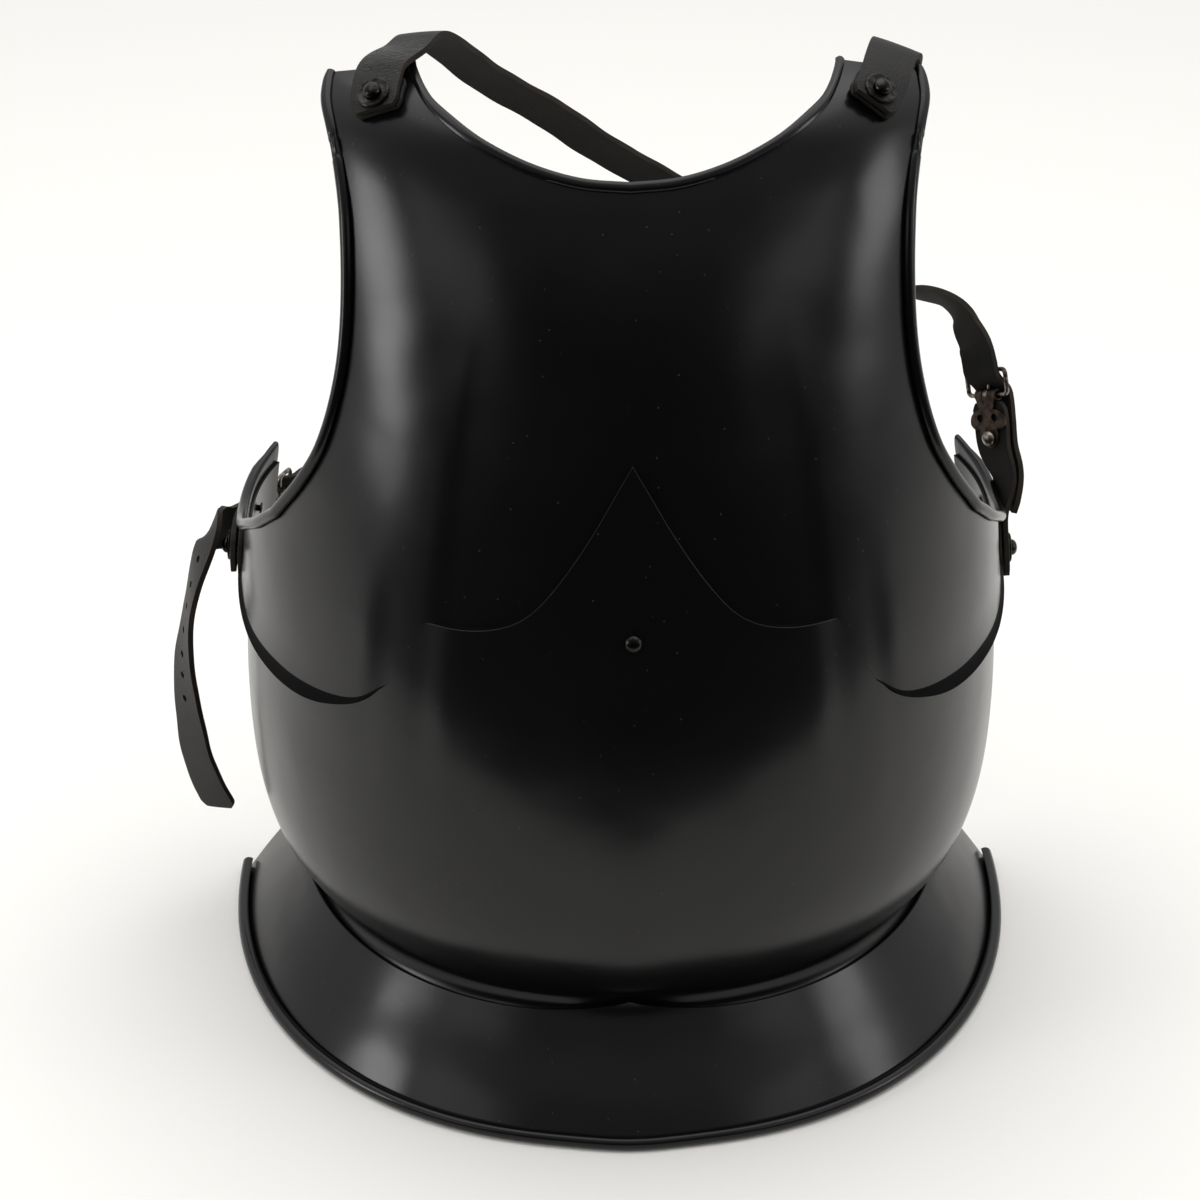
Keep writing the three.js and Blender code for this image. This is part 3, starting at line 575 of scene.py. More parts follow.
enamel = black_enamel("baked black enamel on steel", 0.2, 0.31)
# Painted shade: a flat black with no shine, for the dark band along the breast plate's flank edge.
shade_enamel = black_enamel("black enamel as painted shade", 0.5, 0.02)
rivet_steel = dark_steel("blackened rivet steel", "#343331", "#1b1a19", 0.16)
buckle_steel = dark_steel("worn buckle steel", "#8d8880", "#3b2f28", 0.3)
chape_steel = dark_steel("browned buckle plate", "#4a3f37", "#2a221d", 0.35)
grain_side = leather("waxed black cowhide", "#0e0c0b", "#191512", 1.6, 0.9, 0.5, creases=0.9)
flesh_side = leather("flesh side of cowhide", "#0d0b0a", "#171310", 0.7, 0.7, 0.85)
cut_edge = leather("cut edge of cowhide", "#1b1611", "#2c251d", 0.5, 0.6, 0.75)


# ---- Plates ----
MARKS = [0, 22, 24, 27.7, 33, 37, SEAM["angle"]]
FRONT_COLUMNS = columns_between(MARKS, 1)
ALL_COLUMNS = columns_between([*MARKS, BACK_COLUMN], 1.5)
WINGS = [angle for angle in columns_between([SEAM["angle"], BACK_COLUMN], 1.5) if angle > SEAM["angle"]]
LOWER_COLUMNS = [-angle for angle in reversed(WINGS)] + FRONT_COLUMNS + WINGS
LOWER_ROWS = 28
UPPER_ROWS = 90
BELLY_ROWS = 44
BELLY_TURN = 145
SKIRT_ROWS = 24


def steel_plate(node_name, bm, finishes):
    piece = finished(f"{node_name}_shell", bm, finishes)
    give_wall(piece, PLATE["thickness"], -1)
    soften_edges(piece, PLATE["worn"])
    stands_for(piece, node_name)


def breast_point(angle, height):
    return place(BODY_RINGS, angle, height, breast_lift(angle, height))[0]


def lower_block():
    """The breast plate below the seam of its two blocks. Its first rows are the lip, a flat black of
    painted shade.
    """
    in_lip = []

    def corner(i, up):
        column = LOWER_COLUMNS[i]
        away = abs(column)
        foot = breast_foot(column)
        turn = foot + max(lip_reach(column), LIP["least"])
        head = SEAM["height"] if away <= SEAM["angle"] else read(ARMHOLE_FLOOR, away)[0]
        row = round(up * LOWER_ROWS)
        rest = (row - LIP["rows"]) / (LOWER_ROWS - LIP["rows"])
        height = mix(foot, turn, row / LIP["rows"]) if rest <= 0 else mix(turn, head, rest)
        in_lip.append(rest <= 0 and lip_reach(column) > 0.25)
        return breast_point(spread(column, height), height)

    bm = grid(len(LOWER_COLUMNS) - 1, LOWER_ROWS, corner)
    lip = {vert for vert, inside in zip(bm.verts, in_lip) if inside}
    for face in bm.faces:
        # The lip's faces take the flat black that stands for painted shade under the plate's edge.
        face.material_index = int(lip.issuperset(face.verts))
    return bm


def upper_block():
    """The breast plate between the armholes, up to the neckline and the shoulders."""
    nearest = min(FRONT_COLUMNS, key=lambda angle: abs(angle / SEAM["angle"] - CORNER_SHARE))

    def corner(i, up):
        column = FRONT_COLUMNS[i]
        share = abs(column) / SEAM["angle"]
        target = CORNER_SHARE if abs(abs(column) - nearest) < 1e-6 else share
        aim = mix(share, target, up)
        height = SEAM["height"] + (breast_head(aim) - SEAM["height"]) * (1 - (1 - up) ** 1.5)
        return breast_point(math.copysign(aim * read(ARMHOLE_SIDE, height)[0], column), height)

    return grid(len(FRONT_COLUMNS) - 1, UPPER_ROWS, corner)


def breast_plate():
    bm = lower_block()
    join(bm, upper_block(), "upper block")
    bmesh.ops.remove_doubles(bm, verts=bm.verts, dist=0.01)

    def shape(point):
        """The roll lies flatter up at the neck and the shoulders, and ends small at its ends."""
        angle = angle_of(point)
        low = 1 - 0.92 * smooth(point.z, 385, 425)
        end = 1 - 0.85 * smooth(angle, 98.6, 103) if point.z < 300 else 1 - 0.5 * smooth(point.z, 434, 441)
        return end, low * end

    roll_edge(bm, on_neckline, ROLL["neck"] - PLATE["thickness"], shape)
    roll_edge(bm, on_armhole, ROLL["arm"] - PLATE["thickness"], shape)
    steel_plate("breast_plate", bm, [enamel, shade_enamel])


def on_neckline(point):
    return angle_of(point) < SHOULDER["corner_angle"] + 0.05 and point.z > NECKLINE[0][1] - 1


def on_armhole(point):
    angle = angle_of(point)
    if point.z >= SEAM["height"] - 0.01:
        return point.z < SHOULDER["outer_height"] + 0.05 and abs(angle - read(ARMHOLE_SIDE, point.z)[0]) < 1
    return angle > SEAM["angle"] - 1 and point.z > 208


def belly_plate():
    middle = BELLY_ROWS // 2

    def corner(i, up):
        column = ALL_COLUMNS[i]
        row = up * BELLY_ROWS
        if row <= middle:
            height = mix(BODY_RINGS[0][0], BELLY_TURN, row / middle)
        else:
            height = mix(BELLY_TURN, belly_head(column), (row - middle) / middle)
        return place(BODY_RINGS, spread(column, height), height, belly_lift(column, height))[0]

    steel_plate("belly_plate", grid(len(ALL_COLUMNS) - 1, BELLY_ROWS, corner), [enamel])


def waist_skirt():
    columns = columns_between([0, BACK_RIM], 1.2)

    def corner(i, up):
        cusp = SKIRT_TOP["cusp"] * math.exp(-abs(columns[i]) / SKIRT_TOP["cusp_angle"])
        return ring_point(SKIRT_RINGS, columns[i], mix(HEM_FOOT, SKIRT_TOP["height"] + cusp, up))

    bm = grid(len(columns) - 1, SKIRT_ROWS, corner)
    radius = ROLL["hem"] - PLATE["thickness"]
    roll_edge(bm, lambda point: point.z < HEM_FOOT + 0.01, radius, lambda point: (1, 1))
    steel_plate("waist_skirt", bm, [enamel])


breast_plate()
belly_plate()
waist_skirt()


# ---- Where straps and rivets lie ----
# Heights of the layers over a plate: the middle of the pad, the middle of the strap, its face.
LAYER_PAD = 2 * GAP + PAD["thickness"] / 2
LAYER_STRAP = LAYER_PAD + PAD["thickness"] / 2 + 3 * GAP + STRAP["thickness"] / 2
LAYER_FACE = LAYER_STRAP + STRAP["thickness"] / 2 + GAP
FLANK_LIFT = PLATE["lap"] / 2
HINGE = (BUCKLE["length"] - BUCKLE["wire"]) / 2
CHAPE_RIVET = HINGE + 20
SHORT_LIFT = -BUCKLE["knuckle"] + BUCKLE["chape"] + GAP + STRAP["thickness"] / 2
OVER_HINGE = BUCKLE["knuckle"] + GAP + STRAP["thickness"] / 2 + 0.1
OVER_STRAP = STRAP["thickness"] + GAP + 0.15

SHOULDER_SPOTS = [place_over(side * 100, -72.5, 0) for side in (-1, 1)]
CENTRE_SPOT = place(BODY_RINGS, 0, 244, PLATE["lap"] / 2)
FLANK_SEAM_SPOTS = [column_spot(side * 96, 204, FLANK_LIFT) for side in (-1, 1)]
WAIST_SPOTS = [place(SKIRT_RINGS, side * 86, 37) for side in (-1, 1)]
FLANK_SPOTS = [column_spot(-88, 197, FLANK_LIFT), column_spot(88, 191.5, FLANK_LIFT)]


def buckle_spot(at, along, outward):
    """A buckle's middle, the way its strap's grain side faces, and the way to its hinge bar."""
    way = Vector(along).normalized()
    facing = Vector(outward)
    facing -= way * facing.dot(way)
    return Vector(at), facing.normalized(), way


BUCKLES = [
    buckle_spot((-166, 78, 178), (-0.36, -0.93, 0.05), (-0.93, 0.36, 0.05)),
    buckle_spot((172.5, 20, 264), (0.14, -0.38, -0.915), (0.77, 0.64, 0)),
]


def on_buckle(spot, ahead, lift):
    """A place on a buckle: how far ahead of its middle, towards the hinge, and how far over it."""
    at, facing, way = spot
    return at + way * ahead + facing * lift, facing


def through_buckle(spot):
    """A strap comes in behind the far bar, rises through the frame and lies over the hinge bar."""
    under = [(-18, -4), (-10, -3.1), (-5.4, -2.95), (-2.5, -1.5)]
    over = [(2, 3), (5, OVER_HINGE), (18, OVER_HINGE)]
    return [on_buckle(spot, ahead, lift) for ahead, lift in under + over]


# Each strap is a list of places that its middle goes through, from its riveted end on.
SHORT_STRAPS = [
    [
        column_spot(-84.5, 197, FLANK_LIFT + LAYER_STRAP),
        raised(FLANK_SPOTS[0], LAYER_STRAP),
        column_spot(-94, 195.5, FLANK_LIFT + LAYER_STRAP),
        column_spot(-100, 193.5, FLANK_LIFT + LAYER_STRAP),
        on_buckle(BUCKLES[0], HINGE + 25, SHORT_LIFT),
        on_buckle(BUCKLES[0], HINGE + 14, SHORT_LIFT),
        on_buckle(BUCKLES[0], HINGE + BUCKLE["knuckle"] + GAP, SHORT_LIFT),
    ],
    [
        column_spot(86.2, 180, FLANK_LIFT + LAYER_STRAP),
        raised(FLANK_SPOTS[1], LAYER_STRAP),
        column_spot(90.5, 206, FLANK_LIFT + LAYER_STRAP),
        free(181.6, 3.5, 222, 0.95, 0.3, -0.05),
        on_buckle(BUCKLES[1], HINGE + 26, SHORT_LIFT),
        on_buckle(BUCKLES[1], HINGE + 14, SHORT_LIFT),
        on_buckle(BUCKLES[1], HINGE + BUCKLE["knuckle"] + GAP, SHORT_LIFT),
    ],
]
LONG_STRAPS = [
    [
        place_over(-99.5, -77.5, LAYER_STRAP),
        raised(SHOULDER_SPOTS[0], LAYER_STRAP),
        place_over(-98, -60, LAYER_STRAP + 0.8),
        free(-90.5, -46, 449.4, -0.32, -0.25, 0.9),
        free(-84, -33, 450.6, -0.1, 0.2, 0.97),
        free(-77, -20.5, 443.6, 0.12, 0.68, 0.72),
        free(-61, 3, 422, 0.25, 0.85, 0.45),
        free(-32, 28, 395, 0.3, 0.87, 0.4),
        free(-4, 47, 369, 0.3, 0.85, 0.45),
        free(24, 62, 347, 0.2, 0.8, 0.55),
        free(62, 74, 322, 0.1, 0.65, 0.75),
        free(103, 73, 301, 0.05, 0.45, 0.9),
        free(138, 58, 294, 0.2, 0.42, 0.88),
        free(151.5, 47, 296, 0.42, 0.52, 0.75),
        free(159.5, 38, 293, 0.62, 0.6, 0.5),
        free(163.8, 31, 286.5, 0.74, 0.64, 0.2),
        *through_buckle(BUCKLES[1]),
        on_buckle(BUCKLES[1], HINGE + 26, OVER_HINGE + 0.4),
        raised(SHORT_STRAPS[1][3], OVER_STRAP + 0.6),
        column_spot(90.4, 206, FLANK_LIFT + LAYER_STRAP + OVER_STRAP + 1.6),
    ],
    [
        place_over(97, -77.5, LAYER_STRAP),
        raised(SHOULDER_SPOTS[1], LAYER_STRAP),
        place_over(105, -60, LAYER_STRAP + 0.6),
        free(111, -45, 448, 0.3, 0.05, 0.95),
        free(114.5, -34, 441.5, 0.33, 0.55, 0.76),
        free(113, -25, 428, 0.33, 0.86, 0.38),
        free(101, -3, 402, 0.1, 0.97, 0.2),
        free(72, 32, 362, -0.1, 0.95, 0.3),
        free(30, 64, 314, -0.2, 0.93, 0.3),
        free(-20, 88, 269, -0.3, 0.92, 0.2),
        free(-75, 103, 230, -0.45, 0.88, 0.1),
        free(-125, 107.6, 199, -0.65, 0.75, 0.05),
        *through_buckle(BUCKLES[0]),
        free(-184.5, 44, 181, -0.97, 0.22, 0.05),
        free(-188.5, 24, 189, -1, 0, 0.1),
        free(-191.5, 8, 197, -0.9, -0.2, 0.35),
        free(-193.5, -3, 200, -0.8, -0.35, 0.48),
        free(-197, -9, 192, -0.82, -0.35, 0.45),
        free(-202, -11, 177, -0.93, -0.2, 0.3),
        free(-206.5, -10.5, 157, -0.98, -0.2, 0.1),
        free(-209.5, -10, 134, -0.88, -0.47, 0),
        free(-210, -9, 111, -0.77, -0.64, -0.05),
        free(-208.5, -8, 85, -0.64, -0.75, -0.12),
        free(-205, -6, 65, -0.52, -0.82, -0.2),
        free(-199.5, -5, 47, -0.44, -0.85, -0.25),
    ],
]


# ---- Straps and pads ----
CURVE_STEPS = 40
STRAP_STEP = 1.7
STRAP_ROWS = 12
FACING_REACH = 8


def curve(points):
    """A centripetal curve through points, as places at even steps: span, share of it, point, length."""
    ends = [2 * points[0] - points[1], *points, 2 * points[-1] - points[-2]]
    found, run, last = [], 0, None
    for k in range(len(points) - 1):
        before, start, end, after = ends[k : k + 4]
        gaps = [(b - a).length ** 0.5 for a, b in ((before, start), (start, end), (end, after))]
        out = (start - before) / gaps[0] - (end - before) / (gaps[0] + gaps[1]) + (end - start) / gaps[1]
        into = (end - start) / gaps[1] - (after - start) / (gaps[1] + gaps[2]) + (after - end) / gaps[2]
        out, into = out * gaps[1], into * gaps[1]
        for i in range(CURVE_STEPS):
            t = i / CURVE_STEPS
            bend = (2 * (start - end) + out + into) * t - 3 * (start - end) - 2 * out - into
            point = start + (out + bend * t) * t
            run += (point - last).length if last else 0
            last = point
            found.append((k, t, point, run))
    run += (points[-1] - last).length
    found.append((len(points) - 2, 1, points[-1].copy(), run))
    return found


def strap_frames(rows):
    """A strap's point, facing, side direction and distances to both ends, at even steps along it.

    Each facing is the mean of those near it, so that the strap twists evenly.
    """
    path = curve([row[0] for row in rows])
    length = path[-1][3]
    count = round(length / STRAP_STEP)
    found = []
    for i in range(count + 1):
        want = length * i / count
        j = min(max(bisect_right(path, want, key=lambda place: place[3]), 1), len(path) - 1)
        a, b = path[j - 1], path[j]
        share = (want - a[3]) / (b[3] - a[3])
        way = (path[min(j + 1, len(path) - 1)][2] - path[max(j - 2, 0)][2]).normalized()
        turn = mix(a[1], b[1] if b[0] == a[0] else 1, share)
        found.append((a[2].lerp(b[2], share), way, rows[a[0]][1].lerp(rows[a[0] + 1][1], turn), want))
    frames = []
    for i, (point, way, _, want) in enumerate(found):
        reach = min(FACING_REACH, i, count - i)
        facing = sum((place[2] for place in found[i - reach : i + reach + 1]), Vector())
        facing = (facing - way * facing.dot(way)).normalized()
        frames.append((point, facing, facing.cross(way), want, length - want))
    return frames


def strap(node_name, rows, size=STRAP, pointed=0, holes=()):
    """A strip of leather with clipped corners and slightly uneven edges. Holes count from its far end."""
    frames = strap_frames(rows)
    tip = max(pointed, STRAP["clip"])

    def corner(i, up):
        point, facing, side, behind, ahead = frames[i]
        clipped = 1.2 * STRAP["clip"] * (1 - min(behind / STRAP["clip"], 1)) ** 1.6
        drawn = 1.2 * max(pointed * 0.8, STRAP["clip"]) * (1 - min(ahead / tip, 1)) ** 1.6
        across = (up - 0.5) * (size["width"] - clipped - drawn)
        sway = 0.25 * math.sin(behind / 9.0) + 0.2 * math.sin(behind / 4.1 + 1)
        cup = -0.35 * (2 * up - 1) ** 2
        return point + side * (across + sway * (abs(2 * up - 1) ** 3)) + facing * cup

    bm = grid(len(frames) - 1, STRAP_ROWS, corner)
    punch(bm, [min(frames, key=lambda spot: abs(spot[4] - hole))[0] for hole in holes])
    piece = finished(f"{node_name}_leather", bm, [grain_side, flesh_side, cut_edge])
    give_wall(piece, size["thickness"], 0, 1, 2)
    soften_edges(piece, STRAP["worn"])
    stands_for(piece, node_name)


def punch(bm, points):
    """Punches round holes at corners of the grid: the faces round a corner go and the rim is rounded."""
    for point in points:
        centre = min(bm.verts, key=lambda vert: (vert.co - point).length)
        middle = centre.co.copy()
        rim = {vert for face in centre.link_faces for vert in face.verts} - {centre}
        bmesh.ops.delete(bm, geom=[centre], context="VERTS")
        for vert in rim:
            away = vert.co - middle
            vert.co = middle + away.normalized() * HOLES["radius"]


SIDES = ("left", "right")
for side_name, rows in zip(SIDES, SHORT_STRAPS):
    strap(f"short_strap_{side_name}", rows)
tail_holes = [HOLES["first"] + HOLES["spacing"] * k for k in range(HOLES["count"])]
strap("long_strap_left", LONG_STRAPS[0], pointed=6)
strap("long_strap_right", LONG_STRAPS[1], pointed=4, holes=tail_holes)

# Column and height of the middle of each flank pad, along it.
FLANK_PADS = [
    [(-83, 196.5), (-88, 196.5), (-93, 196.5)],
    [(86, 179), (88, 191.5), (89.5, 201)],
]
for index, side_name in enumerate(SIDES):
    under = [raised(row, LAYER_PAD - LAYER_STRAP) for row in LONG_STRAPS[index][:3]]
    under[2] = (under[2][0].lerp(under[1][0], 0.2), under[2][1])
    strap(f"shoulder_pad_{side_name}", under, PAD)
    flank = [column_spot(column, height, FLANK_LIFT + LAYER_PAD) for column, height in FLANK_PADS[index]]
    strap(f"flank_pad_{side_name}", flank, PAD)


# ---- Rivets and washers ----
QUARTER = [math.radians(90) * i / 7 for i in range(7)]
LAP_GRIP = PLATE["lap"] + PLATE["thickness"] + 3 * GAP
WAIST_GRIP = 4.6 + 2 * GAP
STRAP_GRIP = LAYER_FACE + WASHER["thickness"] + PLATE["thickness"] + 6 * GAP
CHAPE_GRIP = BUCKLE["chape"] + STRAP["thickness"] + 3 * GAP
OVER_WASHER = LAYER_FACE + WASHER["thickness"] + GAP


def turned(profile, steps=32):
    """A solid of revolution about Z from a profile of radius and height."""
    bm = bmesh.new()
    verts = [bm.verts.new((radius, 0, height)) for radius, height in profile]
    edges = [bm.edges.new(pair) for pair in zip(verts, verts[1:])]
    bmesh.ops.spin(bm, geom=verts + edges, cent=(0, 0, 0), axis=(0, 0, 1), angle=math.tau, steps=steps)
    bmesh.ops.remove_doubles(bm, verts=bm.verts, dist=0.001)
    bmesh.ops.recalc_face_normals(bm, faces=bm.faces)
    return bm


def stand(bm, spot, lift):
    """Turns a shape that is built on Z so that it stands on a spot."""
    point, facing = spot[0] + spot[1] * lift, spot[1]
    turn = Vector((0, 0, 1)).rotation_difference(facing).to_matrix().to_4x4()
    bm.transform(Matrix.Translation(point) @ turn)
    return bm


def rivet(name, spot, grip, lift=GAP, steel=rivet_steel, facets=32):
    """A domed head on its shank, hammered over at the tail."""
    dome = [(RIVET["dome"] * math.cos(a), RIVET["dome_height"] * math.sin(a) ** 0.9) for a in QUARTER]
    tail = [(RIVET["tail"] * math.cos(a), -grip - RIVET["tail_height"] * math.sin(a)) for a in QUARTER]
    shank = [(RIVET["shank"], -grip), (RIVET["shank"], 0)]
    tip, top = (0, -grip - RIVET["tail_height"]), (0, RIVET["dome_height"])
    bm = turned([tip, *reversed(tail), *shank, *dome, top], facets)
    piece = finished(f"{name}_turned", stand(bm, spot, lift), [steel])
    stands_for(piece, name)


def washer(name, spot, lift):
    """A dished ring with a raised edge."""
    inner, outer, high = RIVET["shank"] + GAP, WASHER["radius"], WASHER["thickness"]
    profile = [(inner, 0), (outer - 0.3, 0), (outer, 0.3), (outer, high * 0.6), (outer - 0.5, high)]
    profile += [(outer - 1.6, high * 0.8), (inner + 2, high * 0.8), (inner, high), (inner, 0)]
    piece = finished(f"{name}_turned", stand(turned(profile), spot, lift), [rivet_steel])
    soften_edges(piece, 0.12, angle=35)
    stands_for(piece, name)


rivet("centre_rivet", CENTRE_SPOT, LAP_GRIP, facets=12)
for index, side_name in enumerate(SIDES):
    rivet(f"flank_seam_rivet_{side_name}", FLANK_SEAM_SPOTS[index], LAP_GRIP)
    rivet(f"waist_rivet_{side_name}", WAIST_SPOTS[index], WAIST_GRIP)
    rivet(f"shoulder_rivet_{side_name}", SHOULDER_SPOTS[index], STRAP_GRIP, OVER_WASHER)
    rivet(f"flank_rivet_{side_name}", FLANK_SPOTS[index], STRAP_GRIP + PLATE["lap"], OVER_WASHER)
    washer(f"shoulder_washer_{side_name}", SHOULDER_SPOTS[index], LAYER_FACE)
    washer(f"flank_washer_{side_name}", FLANK_SPOTS[index], LAYER_FACE)


# ---- Buckles ----
# Across is X, the way from the far bar to the hinge bar is Y, and the grain side of the strap faces Z.
def on_frame(bm, spot):
    """Turns a shape from those axes to its buckle's place."""
    at, facing, way = spot
    across = way.cross(facing)
    turn = Matrix((across, way, facing)).transposed().to_4x4()
    bm.transform(Matrix.Translation(at) @ turn)
    return bm


def buckle_frame(name, spot):
    """A rounded rectangle of bent wire: a ring, whose quarters are moved apart."""
    wire, corner, steps = BUCKLE["wire"] / 2, BUCKLE["corner"], 32
    bm = bmesh.new()
    circle = bmesh.ops.create_circle(bm, segments=12, radius=wire)["verts"]
    turn = Matrix.Rotation(math.radians(90), 4, "X")
    start = Matrix.Rotation(math.radians(360 / steps / 2), 4, "Z")
    bmesh.ops.transform(bm, verts=circle, matrix=start @ Matrix.Translation((corner, 0, 0)) @ turn)
    ring = bm.verts[:] + bm.edges[:]
    bmesh.ops.spin(bm, geom=ring, cent=(0, 0, 0), axis=(0, 0, 1), angle=math.tau, steps=steps)
    bmesh.ops.remove_doubles(bm, verts=bm.verts, dist=0.001)
    for vert in bm.verts:
        vert.co.x += math.copysign(BUCKLE["width"] / 2 - wire - corner, vert.co.x)
        vert.co.y += math.copysign(BUCKLE["length"] / 2 - wire - corner, vert.co.y)
    bmesh.ops.recalc_face_normals(bm, faces=bm.faces)
    piece = finished(f"{name}_wire", on_frame(bm, spot), [buckle_steel])
    stands_for(piece, name)


def knuckle(bm, middle, width):
    """A short tube round the hinge bar, added to a shape."""
    outer, inner, half = BUCKLE["knuckle"], BUCKLE["knuckle"] - BUCKLE["chape"], width / 2
    tube = turned([(inner, -half), (outer, -half), (outer, half), (inner, half), (inner, -half)])
    tube.transform(Matrix.Translation((middle, HINGE, 0)) @ Matrix.Rotation(math.radians(90), 4, "Y"))
    join(bm, tube, "knuckle")


# Half of the leaf's outline, from the hinge to the tip: where each curve ends, and where it bends to.
LEAF = [
    ((6.5, 0), None), ((4.5, 6.5), None), ((11, 13.5), (11.5, 7.5)), ((5.5, 15.5), (9, 17)),
    ((0, 25), (7, 23)),
]
LEAF_HOLES = [(-4.5, 10.5), (4.5, 10.5), (0, 20)]


def chape(name, spot):
    """The plate that holds the frame to its strap: a three lobed leaf with three holes."""
    half = [Vector((*LEAF[0][0], 0))]
    for end, bend in LEAF[1:]:
        start = half[-1]
        stop = Vector((*end, 0))
        via = Vector((*bend, 0)) if bend else start.lerp(stop, 0.5)
        steps = 8 if bend else 1
        for i in range(1, steps + 1):
            t = i / steps
            half.append(start.lerp(via, t).lerp(via.lerp(stop, t), t))
    outline = half + [Vector((-p.x, p.y, 0)) for p in reversed(half[:-1])]
    bm = bmesh.new()
    corners = [bm.verts.new(p) for p in outline]
    edges = [bm.edges.new(pair) for pair in zip(corners, corners[1:] + corners[:1])]
    for x, y in LEAF_HOLES:
        hole = bmesh.ops.create_circle(bm, segments=16, radius=RIVET["shank"] + 0.3)["verts"]
        bmesh.ops.translate(bm, verts=hole, vec=(x, y, 0))
        edges += {edge for vert in hole for edge in vert.link_edges}
    bmesh.ops.triangle_fill(bm, use_beauty=True, use_dissolve=False, edges=edges)
    made = bmesh.ops.extrude_face_region(bm, geom=bm.faces[:])["geom"]
    up = [part for part in made if isinstance(part, bmesh.types.BMVert)]
    bmesh.ops.translate(bm, verts=up, vec=(0, 0, BUCKLE["chape"]))
    bmesh.ops.translate(bm, verts=bm.verts, vec=(0, HINGE, -BUCKLE["knuckle"]))
    bmesh.ops.recalc_face_normals(bm, faces=bm.faces)
    knuckle(bm, -4.3, 4.4)
    knuckle(bm, 4.3, 4.4)
    piece = finished(f"{name}_leaf", on_frame(bm, spot), [chape_steel])
    soften_edges(piece, 0.2, angle=40)
    stands_for(piece, name)


def prong(name, spot):
    """A tapered tongue on a knuckle of its own."""
    tip = Vector((0, -BUCKLE["length"] / 2 - 0.6, BUCKLE["wire"] / 2 + BUCKLE["prong"] + 2 * GAP))
    root = Vector((0, HINGE - BUCKLE["knuckle"] + 0.6, 0.6))
    bm = bmesh.new()
    way = tip - root
    thick, thin = BUCKLE["prong"] * 1.1, BUCKLE["prong"] * 0.6
    bmesh.ops.create_cone(
        bm, cap_ends=True, segments=16, radius1=thick, radius2=thin, depth=way.length
    )
    turn = Vector((0, 0, 1)).rotation_difference(way.normalized()).to_matrix().to_4x4()
    bm.transform(Matrix.Translation((tip + root) / 2) @ turn)
    knuckle(bm, 0, 2.6)
    piece = finished(f"{name}_tongue", on_frame(bm, spot), [buckle_steel])
    soften_edges(piece, 0.2, angle=40)
    stands_for(piece, name)


for side_name, spot in zip(SIDES, BUCKLES):
    buckle_frame(f"buckle_frame_{side_name}", spot)
    chape(f"buckle_chape_{side_name}", spot)
    prong(f"buckle_prong_{side_name}", spot)
    at, facing = on_buckle(spot, CHAPE_RIVET, -BUCKLE["knuckle"])
    rivet(f"buckle_rivet_{side_name}", (at, -facing), CHAPE_GRIP, steel=buckle_steel)


# ---- Floor, lights and camera ----
def soft_light(name, at, aim, size, power):
    """A rectangular soft light, placed in metres."""
    light = bpy.data.lights.new(name, "AREA")
    light.shape = "RECTANGLE"
    light.size, light.size_y = size
    light.energy = power
    lamp = bpy.data.objects.new(name, light)
    bpy.context.scene.collection.objects.link(lamp)
    lamp.location = at
    lamp.rotation_euler = (Vector(aim) - Vector(at)).to_track_quat("-Z", "Y").to_euler()


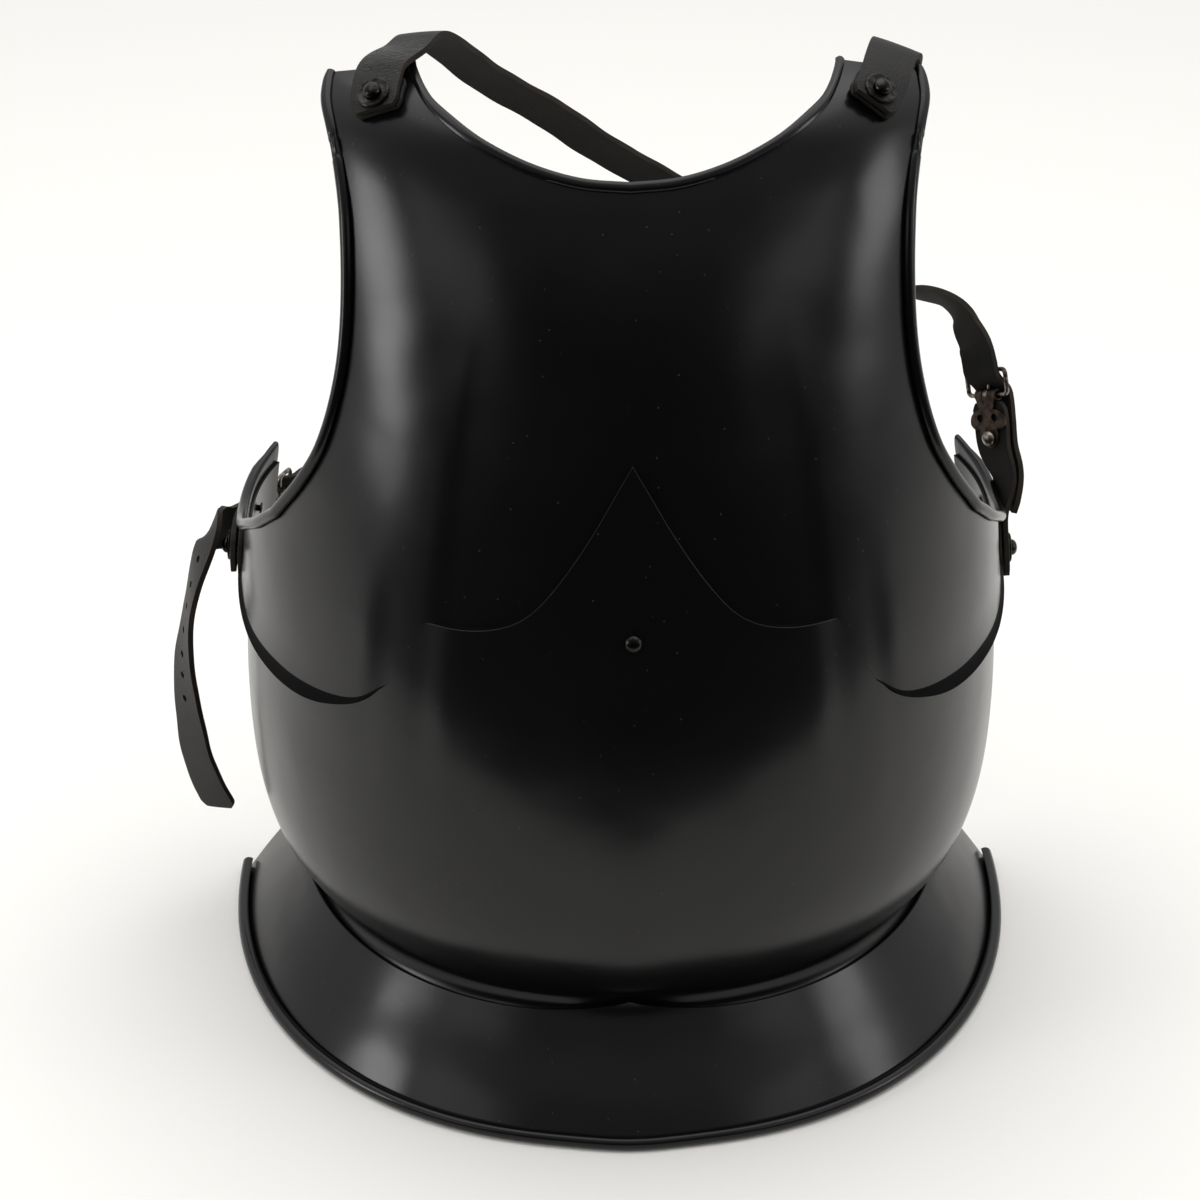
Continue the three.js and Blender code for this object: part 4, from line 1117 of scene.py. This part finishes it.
def studio():
    """A white paper sweep that ends a little in front of the object, with the dark room beyond."""
    bm = bmesh.new()
    bmesh.ops.create_grid(bm, x_segments=1, y_segments=1, size=1)
    bm.transform(Matrix.Translation((0, 2.5, 0)) @ Matrix.Diagonal((3.5, 2.97, 1, 1)))
    mesh = bpy.data.meshes.new("floor")
    bm.to_mesh(mesh)
    bm.free()
    floor = bpy.data.objects.new("floor", mesh)
    bpy.context.scene.collection.objects.link(floor)
    made, tree, output = material("pale studio paper")
    paper = {"Base Color": colour("#f6f4f0"), "Roughness": 0.9}
    shader = node(tree, "ShaderNodeBsdfPrincipled", inputs=paper)
    tree.links.new(shader.outputs["BSDF"], output.inputs["Surface"])
    mesh.materials.append(made)

    world = bpy.data.worlds.new("studio")
    world.use_nodes = True
    tree = world.node_tree
    around = node(tree, "ShaderNodeTexCoord").outputs["Generated"]
    way = node(tree, "ShaderNodeSeparateXYZ", {"Vector": around})
    ahead = node(
        tree, "ShaderNodeMapRange", {"Value": way.outputs["Y"]}, interpolation_type="SMOOTHSTEP",
        inputs={"From Min": -0.7, "From Max": 0.1, "To Min": 0.03, "To Max": 0.75},
    )
    above = node(
        tree, "ShaderNodeMapRange", {"Value": way.outputs["Z"]}, interpolation_type="SMOOTHSTEP",
        inputs={"From Min": 0.3, "From Max": 0.85, "To Min": 0, "To Max": 0.4},
    )
    both = {0: ahead.outputs["Result"], 1: above.outputs["Result"]}
    sky = node(tree, "ShaderNodeMath", both, operation="ADD")
    straight = node(tree, "ShaderNodeLightPath").outputs["Is Camera Ray"]
    seen = node(tree, "ShaderNodeMix", {"Factor": straight, "A": sky.outputs["Value"]}, inputs={"B": 1})
    tree.links.new(seen.outputs["Result"], tree.nodes["Background"].inputs["Strength"])
    tree.nodes["Background"].inputs["Color"].default_value = WHITE
    bpy.context.scene.world = world
    bpy.context.scene.view_settings.view_transform = "Standard"

    soft_light("overhead softbox", (0, 0.3, 2.1), (0, 0.15, 0), (2.4, 2.2), 19)
    left_chest, right_chest = (-0.1, -0.1, 0.38), (0.1, -0.1, 0.38)
    soft_light("left strip", (-1.43, -0.52, 0.55), left_chest, (0.4, 0.45), 5.2)
    soft_light("right strip", (1.38, -0.44, 0.66), right_chest, (0.36, 0.42), 2.5)
    soft_light("left panel", (-1.15, -1.2, 0.95), left_chest, (0.75, 0.4), 1.15)
    soft_light("right panel", (1.15, -1.2, 0.95), right_chest, (0.75, 0.4), 1.15)


def camera():
    """The view is from a little above, from the front and slightly from the left."""
    tilt, turn, distance = math.radians(30), math.radians(-1.3), 1200
    back = Vector((math.sin(turn) * math.cos(tilt), -math.cos(turn) * math.cos(tilt), math.sin(tilt)))
    target = Vector((-10.8, -60, 194.8))
    data = bpy.data.cameras.new("camera")
    data.sensor_width = 36
    data.lens = 2.2 * data.sensor_width
    data.clip_end = 30
    eye = bpy.data.objects.new("camera", data)
    bpy.context.scene.collection.objects.link(eye)
    aim = (-back).to_track_quat("-Z", "Y").to_matrix().to_4x4()
    eye.matrix_world = Matrix.Translation(ORIGIN + (target + back * distance) * MM) @ aim
    bpy.context.scene.camera = eye


studio()
camera()
